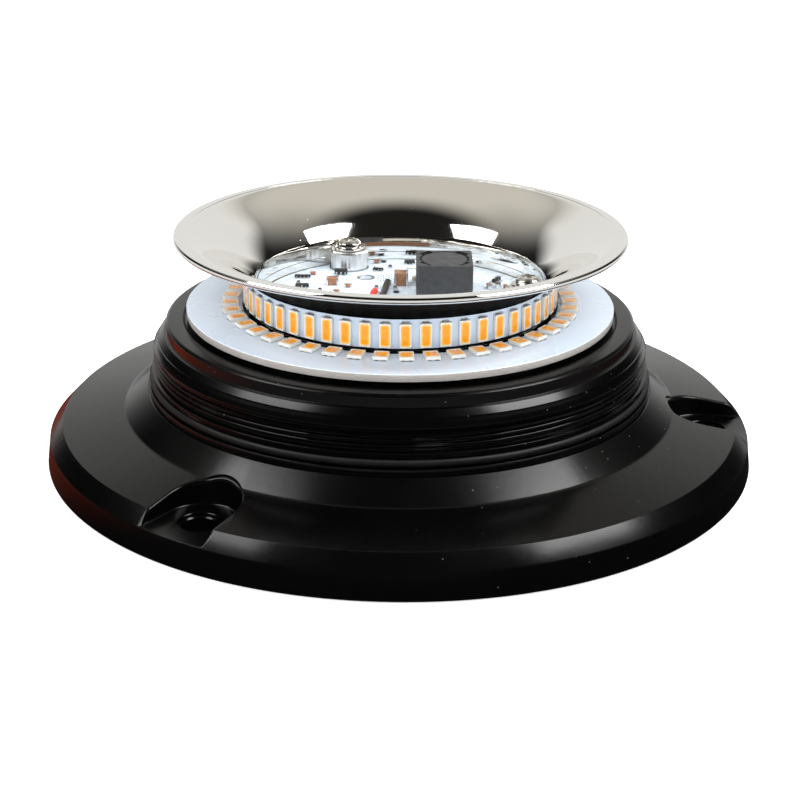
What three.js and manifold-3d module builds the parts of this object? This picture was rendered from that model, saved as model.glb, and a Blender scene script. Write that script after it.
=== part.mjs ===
// Three-bolt amber LED warning beacon with its dome taken off.
// Units are millimetres, +Z is up, and the origin is the centre of the mounting face.
import * as THREE from 'three';
import { mergeVertices } from 'three/addons/utils/BufferGeometryUtils.js';
import Module from 'manifold-3d';

const wasm = await Module();
wasm.setup();

// ---------- driving dimensions ----------
const RING_SEGMENTS = 48;
const SMALL_SEGMENTS = 16;
const HOLE_SEGMENTS = 12;
// Clearance between parts that slide or fit into each other.
const RUNNING_GAP = 0.3;
// Clearance between parts that rest on each other.
const PART_GAP = 0.05;
// How far a cutting solid runs past the face that it cuts.
const OVERCUT = 1;

// Base housing: flange, neck and thread.
const FLANGE_RADIUS = 80;
const FLANGE_EDGE_HEIGHT = 5.8;
const BEVEL_INNER_RADIUS = 76.2;
const BEVEL_TOP = 8.9;
const SLOPE_INNER_RADIUS = 64.2;
const SLOPE_TOP = 11.1;
const NECK_FOOT_RADIUS = 57.1;
const NECK_FOOT_HEIGHT = 15.7;
const SEAL_SEAT_RADIUS = 54.7;
const SEAL_SEAT_BOTTOM = 17.3;
const SEAL_SEAT_TOP = 19.2;
const THREAD_CREST_RADIUS = 56.0;
const THREAD_CREST_TOP = 20.4;
const THREAD_ROOT_RADIUS = 54.8;
const COLLAR_RADIUS = 55.4;
const COLLAR_BOTTOM = 25.1;
const COLLAR_TOP = 25.9;
const COLLAR_WAIST_HEIGHT = 28.8;
const SHOULDER_RADIUS = 52.5;
const SHOULDER_HEIGHT = 31.0;
const RIM_HEIGHT = 31.75;
const PAD_RADIUS = 46.6;
const DECK_HEIGHT = 32.4;
const WELL_RADIUS = 35.0;
const WELL_FLOOR = 31.0;
const DECK_UNDERSIDE = 27.4;
const CAVITY_RADIUS = 51.0;
const COVER_SEAT_RADIUS = 53.2;
const COVER_SEAT_HEIGHT = 14;
const WIRE_HOLE_RADIUS = 9.5;

// Three-fold pattern shared by the bolt pockets and the reflector screws.
const PATTERN_COUNT = 3;
const PATTERN_STEP = 360 / PATTERN_COUNT;
const PATTERN_PHASE = -4.6;

// Bolt pockets in the flange.
const POCKET_FLOOR = 6.0;
const POCKET_HALF_WIDTH = 8.0;
const POCKET_FLARE = 0.35;
const POCKET_FLARE_START = 2.4;
const POCKET_BACK_CENTRE = 69.3;
const BOLT_CIRCLE_RADIUS = 70;
const BOLT_HOLE_RADIUS = 3.5;
const SPOTFACE_RADIUS = 4.4;
const SPOTFACE_DEPTH = 0.5;

// Relief pockets and gasket groove in the underside of the flange.
const RELIEF_INNER_RADIUS = 62.5;
const RELIEF_OUTER_RADIUS = 73;
const RELIEF_DEPTH = 6;
const RELIEF_SPAN = 24;
const RELIEF_PITCH = 27;
const RELIEFS_EACH_SIDE = 1;
const GASKET_INNER_RADIUS = 55.4;
const GASKET_OUTER_RADIUS = 60.2;
const GASKET_THICKNESS = 1.7;

// Bottom cover and its screws.
const COVER_RADIUS = COVER_SEAT_RADIUS - RUNNING_GAP;
const COVER_THICKNESS = 2.4;
const COVER_TOP = COVER_SEAT_HEIGHT - 0.2;
const COVER_BOTTOM = COVER_TOP - COVER_THICKNESS;
const COVER_SCREW_CIRCLE = 45;
const COVER_SCREW_PHASE = PATTERN_PHASE + PATTERN_STEP / 2;
const COVER_SCREW_LENGTH = 10;
const SCREW_POST_RADIUS = 4;

// LED ring board and the two rows of emitters.
const LED_BOARD_OUTER = 47.85;
const LED_BOARD_INNER = 35.4;
const LED_BOARD_BOTTOM = 32.5;
const BOARD_THICKNESS = 1.6;
const LED_BOARD_TOP = LED_BOARD_BOTTOM + BOARD_THICKNESS;
const FLAT_LED_COUNT = 46;
const FLAT_LED_RADIUS = 38.12;
const FLAT_LED_PHASE = 2.1;
const FLAT_LED = { wide: 3.05, long: 4.0, high: 0.8 };
const CARRIER_FILM = 0.15;
const WALL_LED_COUNT = 52;
const WALL_LED_PHASE = 1.95;
const WALL_LED = { wide: 2.5, tall: 5.4, deep: 0.8 };
const STRIP_INNER_RADIUS = 34.25;
const STRIP_OUTER_RADIUS = 34.47;
const STRIP_BOTTOM = 34.8;
const STRIP_TOP = 41.2;
const WALL_LED_BOTTOM = 35.1;

// Reflector.
const NECK_INNER_RADIUS = 32.6;
const NECK_OUTER_RADIUS = 34.05;
const REFLECTOR_BOTTOM = 31.2;
const REFLECTOR_FLOOR_TOP = 32.3;
const REFLECTOR_FLOOR_RADIUS = 24;
const FLARE_START = 40.1;
const NECK_OUTER_TOP = 41.3;
const FLARE_SKIN = { least: 0.55, growth: 0.4 };
const LIP_INNER_RADIUS = 47.7;
const LIP_OUTER_RADIUS = 50.25;
const LIP_TOP = 50.85;
const LIP_THICKNESS = 1.45;
const SCREW_CIRCLE_RADIUS = 28.6;
const BOSS_RADIUS = 4.45;
const BOSS_TOP = 38.6;

// Driver board and the parts on it.
const DRIVER_RADIUS = 32.2;
const DRIVER_BOTTOM = 32.5;
const DRIVER_TOP = DRIVER_BOTTOM + BOARD_THICKNESS;
const LEAD_HOLE = { x: -5.2, y: -0.6, radius: 2.8 };
const LEAD_STAGGER = { x: 1.1, y: 0.6 };
const LEAD_RADIUS = 0.75;
const INDUCTOR = { x: 10, y: 6.6, side: 12.8, high: 8, coreRadius: 5.3, floor: 1 };

// Reflector screws.
const SCREW_SHANK_RADIUS = 1.5;
const SCREW_HOLE_RADIUS = SCREW_SHANK_RADIUS + RUNNING_GAP;
const SCREW_TIP = 19;
const WASHER_RADIUS = 3.6;
const WASHER_THICKNESS = 0.5;
const HEAD_RADIUS = 2.9;
const HEAD_HEIGHT = 1.7;

// Supply cable.
const CABLE_RADIUS = 2.7;
const CABLE_TOP = 18;
const CABLE_REST_HEIGHT = 4.6;
const CABLE_COIL_RADIUS = 31;
const GROMMET_WAIST = CABLE_RADIUS + RUNNING_GAP + 2.4;
const TIE_BOTTOM = 15.8;
const TIE_HEIGHT = 1.6;

// Two-way connector under the deck.
const SOCKET = { wide: 8.4, deep: 6.4, high: 6, wall: 0.8, floor: 1.6 };
const PLUG = { wide: 6.2, deep: 4.2, high: 8 };
const PLUG_BOTTOM = CABLE_TOP + 2.2;
const PLUG_TOP = PLUG_BOTTOM + PLUG.high;

// ---------- helpers ----------
const DEGREE = Math.PI / 180;

function toSolid(geometry) {
  const bare = geometry.clone();
  bare.deleteAttribute('normal');
  bare.deleteAttribute('uv');
  const merged = mergeVertices(bare, 1e-4);
  const source = merged.index.array;
  const kept = [];
  for (let i = 0; i < source.length; i += 3) {
    const [a, b, c] = [source[i], source[i + 1], source[i + 2]];
    if (a !== b && b !== c && c !== a) kept.push(a, b, c);
  }
  return new wasm.Manifold(new wasm.Mesh({
    numProp: 3,
    vertProperties: new Float32Array(merged.attributes.position.array),
    triVerts: new Uint32Array(kept),
  }));
}

function toGeometry(solid) {
  const mesh = solid.getMesh();
  const geometry = new THREE.BufferGeometry();
  geometry.setAttribute('position', new THREE.BufferAttribute(mesh.vertProperties, 3));
  geometry.setIndex(new THREE.BufferAttribute(mesh.triVerts, 1));
  geometry.computeVertexNormals();
  return geometry;
}

// A closed [radius, height] outline, listed anticlockwise, turned about Z.
function turned(outline, segments = RING_SEGMENTS) {
  const points = outline.map(([radius, height]) => new THREE.Vector2(radius, height));
  if (outline[0][0] > 0) points.push(points[0].clone());
  return toSolid(new THREE.LatheGeometry(points, segments).rotateX(Math.PI / 2));
}

function ring(inner, outer, bottom, top, segments = RING_SEGMENTS) {
  return turned([[inner, bottom], [outer, bottom], [outer, top], [inner, top]], segments);
}

function rod(radius, bottom, top, segments = SMALL_SEGMENTS) {
  return turned([[0, bottom], [radius, bottom], [radius, top], [0, top]], segments);
}

function block(wide, deep, high) {
  return toSolid(new THREE.BoxGeometry(wide, deep, high).translate(0, 0, high / 2));
}

// A plan outline raised from z = 0.
function raised(shape, high, curveSegments = 8) {
  const options = { depth: high, bevelEnabled: false, curveSegments };
  return toSolid(new THREE.ExtrudeGeometry(shape, options));
}

function swept(points, radius, steps, sides) {
  const path = new THREE.CatmullRomCurve3(points.map((p) => new THREE.Vector3(...p)));
  const section = new THREE.Shape();
  section.absarc(0, 0, radius, 0, 2 * Math.PI, false);
  const options = { extrudePath: path, steps, curveSegments: sides / 2, bevelEnabled: false };
  return toSolid(new THREE.ExtrudeGeometry(section, options));
}

// Angle of the given member of the shared three-fold pattern.
function patternAngle(index) {
  return PATTERN_PHASE + (index * 360) / PATTERN_COUNT;
}

function onCircle(solid, radius, angle, height = 0) {
  return solid.translate([radius, 0, height]).rotate([0, 0, angle]);
}

function paint(color, roughness, metalness = 0) {
  return new THREE.MeshStandardMaterial({ color, roughness, metalness });
}

const paints = {
  housing: paint(0x16161a, 0.35),
  rubber: paint(0x0d0d0e, 0.8),
  plate: paint(0x202124, 0.6),
  mask: paint(0xe2e4ec, 0.35),
  emitter: paint(0xf4a326, 0.4),
  chrome: paint(0xd9d6cd, 0.05, 1),
  steel: paint(0xc9c9c6, 0.25, 1),
  ferrite: paint(0x3a3a3c, 0.6),
  ceramic: paint(0x8a5636, 0.45),
  chip: paint(0x1a1a1c, 0.5),
  nylon: paint(0xe9e8e2, 0.55),
  redLead: paint(0xc8201c, 0.45),
  blackLead: paint(0x141414, 0.45),
};

const beacon = new THREE.Group();

function add(name, solid, material) {
  const mesh = new THREE.Mesh(toGeometry(solid), material);
  mesh.name = name;
  beacon.add(mesh);
  return mesh;
}

// ---------- base housing ----------
function filletOutline(steps) {
  // Quadratic sweep from the flange slope up into the foot of the neck.
  const start = [SLOPE_INNER_RADIUS, SLOPE_TOP];
  const corner = [NECK_FOOT_RADIUS + 1.3, SLOPE_TOP + 0.9];
  const end = [NECK_FOOT_RADIUS, NECK_FOOT_HEIGHT];
  const outline = [];
  for (let i = 1; i < steps; i += 1) {
    const t = i / steps;
    const blend = (a, b, c) => (1 - t) ** 2 * a + 2 * t * (1 - t) * b + t ** 2 * c;
    outline.push([blend(start[0], corner[0], end[0]), blend(start[1], corner[1], end[1])]);
  }
  return outline;
}

function pocketShape(grow) {
  // U shape, open outwards, in the plane of the flange with +X pointing outwards.
  const half = POCKET_HALF_WIDTH + grow;
  const mouth = FLANGE_RADIUS + OVERCUT;
  const shape = new THREE.Shape();
  shape.moveTo(mouth, -half);
  shape.lineTo(mouth, half);
  shape.lineTo(POCKET_BACK_CENTRE, half);
  shape.absarc(POCKET_BACK_CENTRE, 0, half, Math.PI / 2, (3 * Math.PI) / 2, false);
  shape.closePath();
  return shape;
}

function boltPocket() {
  const flareBottom = POCKET_FLOOR + POCKET_FLARE_START;
  const lower = raised(pocketShape(0), POCKET_FLARE_START + OVERCUT).translate([0, 0, POCKET_FLOOR]);
  const upper = raised(pocketShape(POCKET_FLARE), NECK_FOOT_HEIGHT - flareBottom)
    .translate([0, 0, flareBottom]);
  const bolt = rod(BOLT_HOLE_RADIUS, -OVERCUT, POCKET_FLOOR + OVERCUT);
  const spotface = rod(SPOTFACE_RADIUS, POCKET_FLOOR - SPOTFACE_DEPTH, POCKET_FLOOR + OVERCUT);
  const drilled = bolt.add(spotface).translate([BOLT_CIRCLE_RADIUS, 0, 0]);
  return lower.add(upper).add(drilled);
}

function reliefPocket() {
  const half = (RELIEF_SPAN / 2) * DEGREE;
  const shape = new THREE.Shape();
  shape.absarc(0, 0, RELIEF_OUTER_RADIUS, -half, half, false);
  shape.absarc(0, 0, RELIEF_INNER_RADIUS, half, -half, true);
  shape.closePath();
  return raised(shape, RELIEF_DEPTH + OVERCUT, 3).translate([0, 0, -OVERCUT]);
}

function housingShell() {
  return turned([
    [FLANGE_RADIUS - 0.5, 0],
    [FLANGE_RADIUS - 0.1, 0.4],
    [FLANGE_RADIUS - 0.8, FLANGE_EDGE_HEIGHT],
    [BEVEL_INNER_RADIUS, BEVEL_TOP],
    [SLOPE_INNER_RADIUS, SLOPE_TOP],
    ...filletOutline(4),
    [NECK_FOOT_RADIUS, NECK_FOOT_HEIGHT],
    [NECK_FOOT_RADIUS - 0.4, SEAL_SEAT_BOTTOM],
    [SEAL_SEAT_RADIUS, SEAL_SEAT_BOTTOM],
    [SEAL_SEAT_RADIUS, SEAL_SEAT_TOP],
    [THREAD_CREST_RADIUS, SEAL_SEAT_TOP],
    [THREAD_CREST_RADIUS, THREAD_CREST_TOP],
    [THREAD_ROOT_RADIUS, THREAD_CREST_TOP + 0.7],
    [THREAD_ROOT_RADIUS, COLLAR_BOTTOM - 0.3],
    [COLLAR_RADIUS, COLLAR_BOTTOM],
    [COLLAR_RADIUS, COLLAR_TOP],
    [SHOULDER_RADIUS, COLLAR_WAIST_HEIGHT],
    [SHOULDER_RADIUS, SHOULDER_HEIGHT],
    [SHOULDER_RADIUS - 0.6, RIM_HEIGHT - 0.3],
    [PAD_RADIUS, RIM_HEIGHT],
    [PAD_RADIUS, DECK_HEIGHT],
    [WELL_RADIUS, DECK_HEIGHT],
    [WELL_RADIUS, WELL_FLOOR],
    [WIRE_HOLE_RADIUS, WELL_FLOOR],
    [WIRE_HOLE_RADIUS, DECK_UNDERSIDE],
    [CAVITY_RADIUS, DECK_UNDERSIDE],
    [CAVITY_RADIUS, COVER_SEAT_HEIGHT],
    [COVER_SEAT_RADIUS, COVER_SEAT_HEIGHT],
    [COVER_SEAT_RADIUS, 0],
  ]);
}

// Post with a blind pilot hole for a thread-forming screw, between two heights on its axis.
function screwPost(bottom, top, holeBottom, holeTop) {
  return {
    post: rod(SCREW_POST_RADIUS, bottom, top, HOLE_SEGMENTS),
    hole: rod(SCREW_HOLE_RADIUS, holeBottom, holeTop, HOLE_SEGMENTS),
  };
}

function baseHousing() {
  const grooveInner = GASKET_INNER_RADIUS - RUNNING_GAP;
  const grooveOuter = GASKET_OUTER_RADIUS + RUNNING_GAP;
  const groove = ring(grooveInner, grooveOuter, -OVERCUT, GASKET_THICKNESS + RUNNING_GAP);
  const pocket = boltPocket();
  const relief = reliefPocket();
  const intoDeck = DECK_UNDERSIDE + OVERCUT;
  const upper = screwPost(SCREW_TIP - 1, intoDeck, SCREW_TIP - 3, WELL_FLOOR + OVERCUT);
  const coverHoleTop = COVER_BOTTOM + COVER_SCREW_LENGTH + 0.6;
  const lower = screwPost(COVER_SEAT_HEIGHT, intoDeck, COVER_SEAT_HEIGHT - OVERCUT, coverHoleTop);
  let solid = housingShell().subtract(groove);
  for (let i = 0; i < PATTERN_COUNT; i += 1) {
    const angle = patternAngle(i);
    const coverAngle = COVER_SCREW_PHASE + i * PATTERN_STEP;
    solid = solid.subtract(pocket.rotate([0, 0, angle]));
    for (let side = -RELIEFS_EACH_SIDE; side <= RELIEFS_EACH_SIDE; side += 1) {
      solid = solid.subtract(relief.rotate([0, 0, coverAngle + side * RELIEF_PITCH]));
    }
    solid = solid.add(onCircle(upper.post, SCREW_CIRCLE_RADIUS, angle));
    solid = solid.subtract(onCircle(upper.hole, SCREW_CIRCLE_RADIUS, angle));
    solid = solid.add(onCircle(lower.post, COVER_SCREW_CIRCLE, coverAngle));
    solid = solid.subtract(onCircle(lower.hole, COVER_SCREW_CIRCLE, coverAngle));
  }
  return solid;
}

add('base_housing', baseHousing(), paints.housing);
add('mounting_gasket', ring(GASKET_INNER_RADIUS, GASKET_OUTER_RADIUS, 0, GASKET_THICKNESS), paints.rubber);

function sealRing() {
  const section = (SEAL_SEAT_TOP - SEAL_SEAT_BOTTOM) / 2 - 0.1;
  const centre = SEAL_SEAT_RADIUS + section + 0.15;
  const height = (SEAL_SEAT_TOP + SEAL_SEAT_BOTTOM) / 2;
  return toSolid(new THREE.TorusGeometry(centre, section, 6, RING_SEGMENTS).translate(0, 0, height));
}
add('dome_seal_ring', sealRing(), paints.rubber);

// ---------- bottom cover, grommet and cable ----------
function panHead(radius, high) {
  const outline = [[0, 0], [radius, 0], [radius, high * 0.55], [radius * 0.72, high], [0, high]];
  return turned(outline, SMALL_SEGMENTS);
}

function crossRecess(span, wide, deep) {
  return block(span, wide, deep).add(block(wide, span, deep));
}

// Head from z = 0 up, shank from z = 0 down.
function screw(headRadius, headHigh, shankRadius, length) {
  const recess = crossRecess(headRadius * 1.1, headRadius * 0.28, headHigh);
  const point = shankRadius * 0.6;
  const overlap = 0.3;
  const shank = turned([
    [0, -length],
    [point, -length],
    [shankRadius, 1 - length],
    [shankRadius, overlap],
    [0, overlap],
  ], 10);
  return panHead(headRadius, headHigh).add(shank).subtract(recess.translate([0, 0, headHigh * 0.45]));
}

function bottomCover() {
  const below = COVER_BOTTOM - OVERCUT;
  const above = COVER_TOP + OVERCUT;
  const hole = rod(SCREW_HOLE_RADIUS, below, above);
  let solid = rod(COVER_RADIUS, COVER_BOTTOM, COVER_TOP, RING_SEGMENTS);
  solid = solid.subtract(rod(GROMMET_WAIST + RUNNING_GAP, below, above));
  for (let i = 0; i < PATTERN_COUNT; i += 1) {
    solid = solid.subtract(onCircle(hole, COVER_SCREW_CIRCLE, COVER_SCREW_PHASE + i * PATTERN_STEP));
  }
  return solid;
}
add('bottom_cover', bottomCover(), paints.plate);

for (let i = 0; i < PATTERN_COUNT; i += 1) {
  const piece = screw(HEAD_RADIUS, HEAD_HEIGHT, SCREW_SHANK_RADIUS, COVER_SCREW_LENGTH);
  const angle = COVER_SCREW_PHASE + i * PATTERN_STEP;
  const underHead = COVER_BOTTOM - 2 * PART_GAP;
  const placed = onCircle(piece.rotate([180, 0, 0]), COVER_SCREW_CIRCLE, angle, underHead);
  add(`cover_screw_${i + 1}`, placed, paints.steel);
}

// Rubber bush with a flange on each side of the cover.
function grommet() {
  const bore = CABLE_RADIUS + RUNNING_GAP;
  const flange = GROMMET_WAIST + 1.8;
  const flangeHigh = 1.4;
  const under = COVER_BOTTOM - 0.2;
  const over = COVER_TOP + 0.2;
  return turned([
    [bore, under - flangeHigh],
    [flange - 0.5, under - flangeHigh],
    [flange, under - flangeHigh + 0.5],
    [flange, under],
    [GROMMET_WAIST, under],
    [GROMMET_WAIST, over],
    [flange, over],
    [flange - 1, over + flangeHigh],
    [bore, over + flangeHigh],
  ], SMALL_SEGMENTS);
}
add('cable_grommet', grommet(), paints.rubber);

// Straight down through the grommet, then one spiral turn at rest inside the base.
function supplyCable() {
  const points = [
    [0, 0, CABLE_TOP],
    [0, 0, 14],
    [0, 0, 10.2],
    [1.2, 0, 6.9],
    [4.6, 0.6, CABLE_REST_HEIGHT + 0.3],
  ];
  const steps = 12;
  const firstAngle = 40;
  const sweep = 290;
  for (let i = 0; i <= steps; i += 1) {
    const angle = (firstAngle + (i * sweep) / steps) * DEGREE;
    const radius = CABLE_COIL_RADIUS * Math.min(1, 0.42 + 0.2 * i - 0.018 * i * i);
    points.push([radius * Math.cos(angle), radius * Math.sin(angle), CABLE_REST_HEIGHT]);
  }
  return swept(points, CABLE_RADIUS, 44, 8);
}
add('supply_cable', supplyCable(), paints.rubber);

function cableTie() {
  const inner = CABLE_RADIUS + 0.2;
  const strap = 1.2;
  const lock = block(3.2, 4, TIE_HEIGHT + 0.2).translate([inner + 2 * strap, 0, TIE_BOTTOM]);
  return ring(inner, inner + strap, TIE_BOTTOM, TIE_BOTTOM + TIE_HEIGHT, SMALL_SEGMENTS).add(lock);
}
add('cable_tie', cableTie(), paints.nylon);

// ---------- plug and socket under the deck ----------
function leadSocket() {
  const mouth = block(SOCKET.wide - 2 * SOCKET.wall, SOCKET.deep - 2 * SOCKET.wall, SOCKET.high);
  return block(SOCKET.wide, SOCKET.deep, SOCKET.high)
    .subtract(mouth.translate([0, 0, SOCKET.floor]))
    .translate([0, 0, CABLE_TOP + 0.2]);
}
add('lead_socket', leadSocket(), paints.nylon);

add('lead_plug', block(PLUG.wide, PLUG.deep, PLUG.high).translate([0, 0, PLUG_BOTTOM]), paints.nylon);

// ---------- LED boards ----------
add('led_ring_board', ring(LED_BOARD_INNER, LED_BOARD_OUTER, LED_BOARD_BOTTOM, LED_BOARD_TOP), paints.mask);

// Emitters standing on the thin solder-mask film that carries them.
function flatLeds() {
  const film = LED_BOARD_TOP + PART_GAP;
  const filmInner = LED_BOARD_INNER + 0.4;
  const filmOuter = LED_BOARD_OUTER - 0.5;
  const led = block(FLAT_LED.long, FLAT_LED.wide, FLAT_LED.high);
  let solid = ring(filmInner, filmOuter, film, film + CARRIER_FILM, FLAT_LED_COUNT);
  for (let i = 0; i < FLAT_LED_COUNT; i += 1) {
    const angle = FLAT_LED_PHASE - 90 + (i * 360) / FLAT_LED_COUNT;
    solid = solid.add(onCircle(led, FLAT_LED_RADIUS, angle, film + CARRIER_FILM / 5));
  }
  return solid;
}
add('flat_led_ring', flatLeds(), paints.emitter);

// Emitters facing outwards on the thin flexible strip wrapped round the reflector's neck.
function wallLeds() {
  const bite = 0.1;
  const led = block(WALL_LED.deep + 0.05, WALL_LED.wide, WALL_LED.tall);
  const centre = STRIP_OUTER_RADIUS + WALL_LED.deep / 2 - bite;
  let solid = ring(STRIP_INNER_RADIUS, STRIP_OUTER_RADIUS, STRIP_BOTTOM, STRIP_TOP, WALL_LED_COUNT);
  for (let i = 0; i < WALL_LED_COUNT; i += 1) {
    const angle = WALL_LED_PHASE - 90 + (i * 360) / WALL_LED_COUNT;
    solid = solid.add(onCircle(led, centre, angle, WALL_LED_BOTTOM));
  }
  return solid;
}
add('vertical_led_strip', wallLeds(), paints.emitter);

// ---------- reflector ----------
// Mirror side of the flare, from the neck out to the lip, as [radius, height].
function flareCurve() {
  return new THREE.CubicBezierCurve(
    new THREE.Vector2(NECK_INNER_RADIUS, FLARE_START),
    new THREE.Vector2(NECK_INNER_RADIUS + 1.45, FLARE_START + 2.1),
    new THREE.Vector2(LIP_INNER_RADIUS - 8.95, LIP_TOP - 3.05),
    new THREE.Vector2(LIP_INNER_RADIUS, LIP_TOP),
  );
}

function reflectorShell() {
  const curve = flareCurve();
  const steps = 6;
  const topSide = [];
  const underSide = [];
  for (let i = 0; i <= steps; i += 1) {
    const point = curve.getPoint(i / steps);
    const slope = curve.getTangent(i / steps);
    const skin = FLARE_SKIN.least + (FLARE_SKIN.growth * i) / steps;
    topSide.push([point.x, point.y]);
    underSide.push([point.x + slope.y * skin, point.y - slope.x * skin]);
  }
  return turned([
    [REFLECTOR_FLOOR_RADIUS, REFLECTOR_BOTTOM],
    [NECK_OUTER_RADIUS, REFLECTOR_BOTTOM],
    [NECK_OUTER_RADIUS, NECK_OUTER_TOP],
    ...underSide.slice(0, steps).filter(([, height]) => height > NECK_OUTER_TOP + RUNNING_GAP),
    [LIP_INNER_RADIUS + 0.6, LIP_TOP - LIP_THICKNESS],
    [LIP_OUTER_RADIUS - 0.45, LIP_TOP - LIP_THICKNESS],
    [LIP_OUTER_RADIUS, LIP_TOP - LIP_THICKNESS + 0.45],
    [LIP_OUTER_RADIUS, LIP_TOP - 0.4],
    [LIP_OUTER_RADIUS - 0.4, LIP_TOP],
    ...topSide.reverse(),
    [NECK_INNER_RADIUS, REFLECTOR_FLOOR_TOP],
    [REFLECTOR_FLOOR_RADIUS, REFLECTOR_FLOOR_TOP],
  ]);
}

function reflector() {
  const boss = rod(BOSS_RADIUS, REFLECTOR_BOTTOM, BOSS_TOP);
  const hole = rod(SCREW_HOLE_RADIUS, REFLECTOR_BOTTOM - OVERCUT, BOSS_TOP + OVERCUT);
  let solid = reflectorShell();
  for (let i = 0; i < PATTERN_COUNT; i += 1) {
    const angle = patternAngle(i);
    solid = solid.add(onCircle(boss, SCREW_CIRCLE_RADIUS, angle));
    solid = solid.subtract(onCircle(hole, SCREW_CIRCLE_RADIUS, angle));
  }
  return solid;
}
add('reflector', reflector(), paints.chrome);

// ---------- reflector screws and washers ----------
for (let i = 0; i < PATTERN_COUNT; i += 1) {
  const angle = patternAngle(i);
  const underWasher = BOSS_TOP + PART_GAP;
  const underHead = underWasher + WASHER_THICKNESS + PART_GAP;
  const washer = ring(SCREW_HOLE_RADIUS, WASHER_RADIUS, 0, WASHER_THICKNESS, SMALL_SEGMENTS);
  const piece = screw(HEAD_RADIUS, HEAD_HEIGHT, SCREW_SHANK_RADIUS, underHead - SCREW_TIP);
  add(`washer_${i + 1}`, onCircle(washer, SCREW_CIRCLE_RADIUS, angle, underWasher), paints.steel);
  add(`screw_${i + 1}`, onCircle(piece, SCREW_CIRCLE_RADIUS, angle, underHead), paints.steel);
}

// ---------- driver board and its parts ----------
function driverBoard() {
  const below = DRIVER_BOTTOM - OVERCUT;
  const above = DRIVER_TOP + OVERCUT;
  const notch = rod(BOSS_RADIUS + RUNNING_GAP, below, above);
  const leadHole = rod(LEAD_HOLE.radius, below, above);
  let solid = rod(DRIVER_RADIUS, DRIVER_BOTTOM, DRIVER_TOP, RING_SEGMENTS);
  for (let i = 0; i < PATTERN_COUNT; i += 1) {
    solid = solid.subtract(onCircle(notch, SCREW_CIRCLE_RADIUS, patternAngle(i)));
  }
  return solid.subtract(leadHole.translate([LEAD_HOLE.x, LEAD_HOLE.y, 0]));
}
add('driver_board', driverBoard(), paints.mask);

// Square shield with a round well for the wound core.
function inductorShield() {
  const bore = rod(INDUCTOR.coreRadius + RUNNING_GAP, INDUCTOR.floor, INDUCTOR.high + OVERCUT, 32);
  return block(INDUCTOR.side, INDUCTOR.side, INDUCTOR.high)
    .subtract(bore)
    .translate([INDUCTOR.x, INDUCTOR.y, DRIVER_TOP + PART_GAP]);
}

function inductorCore() {
  return rod(INDUCTOR.coreRadius, INDUCTOR.floor + 0.1, INDUCTOR.high - 0.1, 32)
    .translate([INDUCTOR.x, INDUCTOR.y, DRIVER_TOP + PART_GAP]);
}
add('inductor_shield', inductorShield(), paints.ferrite);
add('inductor_core', inductorCore(), paints.ferrite);

// Surface-mount parts as [name, x, y, wide, deep, high, paint].
const boardParts = [
  ['input_capacitor', -15.7, 11.5, 2.8, 1.9, 1.7, paints.ceramic],
  ['output_capacitor', 0.2, 12.0, 3.2, 3.2, 3.1, paints.ceramic],
  ['controller_chip', -22.9, 16.4, 3.8, 2.2, 0.8, paints.chip],
  ['switch_transistor', 1.0, -12.5, 6.6, 6.1, 2.3, paints.chip],
  ['rectifier_diode', -14.0, 19.5, 3.0, 2.0, 1.3, paints.chip],
  ['timer_chip', -9.0, -14.5, 4.9, 3.9, 1.6, paints.chip],
];
for (const [name, x, y, wide, deep, high, material] of boardParts) {
  add(name, block(wide, deep, high).translate([x, y, DRIVER_TOP + PART_GAP]), material);
}

// A lead rises from the plug through the board and bends down to its pad.
function lead(side, endX, endY) {
  const footX = side * 1.4;
  const holeX = LEAD_HOLE.x + side * LEAD_STAGGER.x;
  const holeY = LEAD_HOLE.y - side * LEAD_STAGGER.y;
  return swept([
    [footX, 0, PLUG_TOP + 0.3],
    [footX, 0, PLUG_TOP + 1.2],
    [(footX + holeX) / 2, holeY, (PLUG_TOP + DRIVER_BOTTOM) / 2 + 0.4],
    [holeX, holeY, DRIVER_BOTTOM - 0.2],
    [holeX, holeY + 0.2, DRIVER_TOP + 0.4],
    [(holeX + endX) / 2, (holeY + endY) / 2, DRIVER_TOP + 1.35],
    [endX, endY, DRIVER_TOP + 0.95],
  ], LEAD_RADIUS, 16, 6);
}
add('red_lead', lead(-1, -5.8, 5.2), paints.redLead);
add('black_lead', lead(1, -2.9, 11.2), paints.blackLead);

export default beacon;
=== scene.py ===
import math
import random

import bpy
from mathutils import Matrix, Vector


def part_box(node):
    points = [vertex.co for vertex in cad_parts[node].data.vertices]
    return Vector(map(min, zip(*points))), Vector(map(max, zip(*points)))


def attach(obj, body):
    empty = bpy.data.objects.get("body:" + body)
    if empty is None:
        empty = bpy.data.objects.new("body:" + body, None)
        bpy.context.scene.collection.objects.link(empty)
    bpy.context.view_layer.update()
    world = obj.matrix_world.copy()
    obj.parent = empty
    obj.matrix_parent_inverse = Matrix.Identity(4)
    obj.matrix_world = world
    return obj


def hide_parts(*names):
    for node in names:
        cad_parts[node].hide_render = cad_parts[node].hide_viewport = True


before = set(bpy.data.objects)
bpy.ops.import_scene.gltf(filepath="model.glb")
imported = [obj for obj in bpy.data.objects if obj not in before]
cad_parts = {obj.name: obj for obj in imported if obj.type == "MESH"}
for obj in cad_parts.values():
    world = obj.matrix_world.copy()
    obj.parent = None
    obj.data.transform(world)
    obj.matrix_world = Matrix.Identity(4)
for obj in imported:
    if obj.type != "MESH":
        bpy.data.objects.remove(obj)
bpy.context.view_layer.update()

MM = 0.001
TAU = 2 * math.pi
# Segments round a turned piece, by its size.
FINE = 288
MEDIUM = 64
SMALL = 32
# Steepest fold, in degrees, that is still shaded smooth.
SHARP = 34

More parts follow.
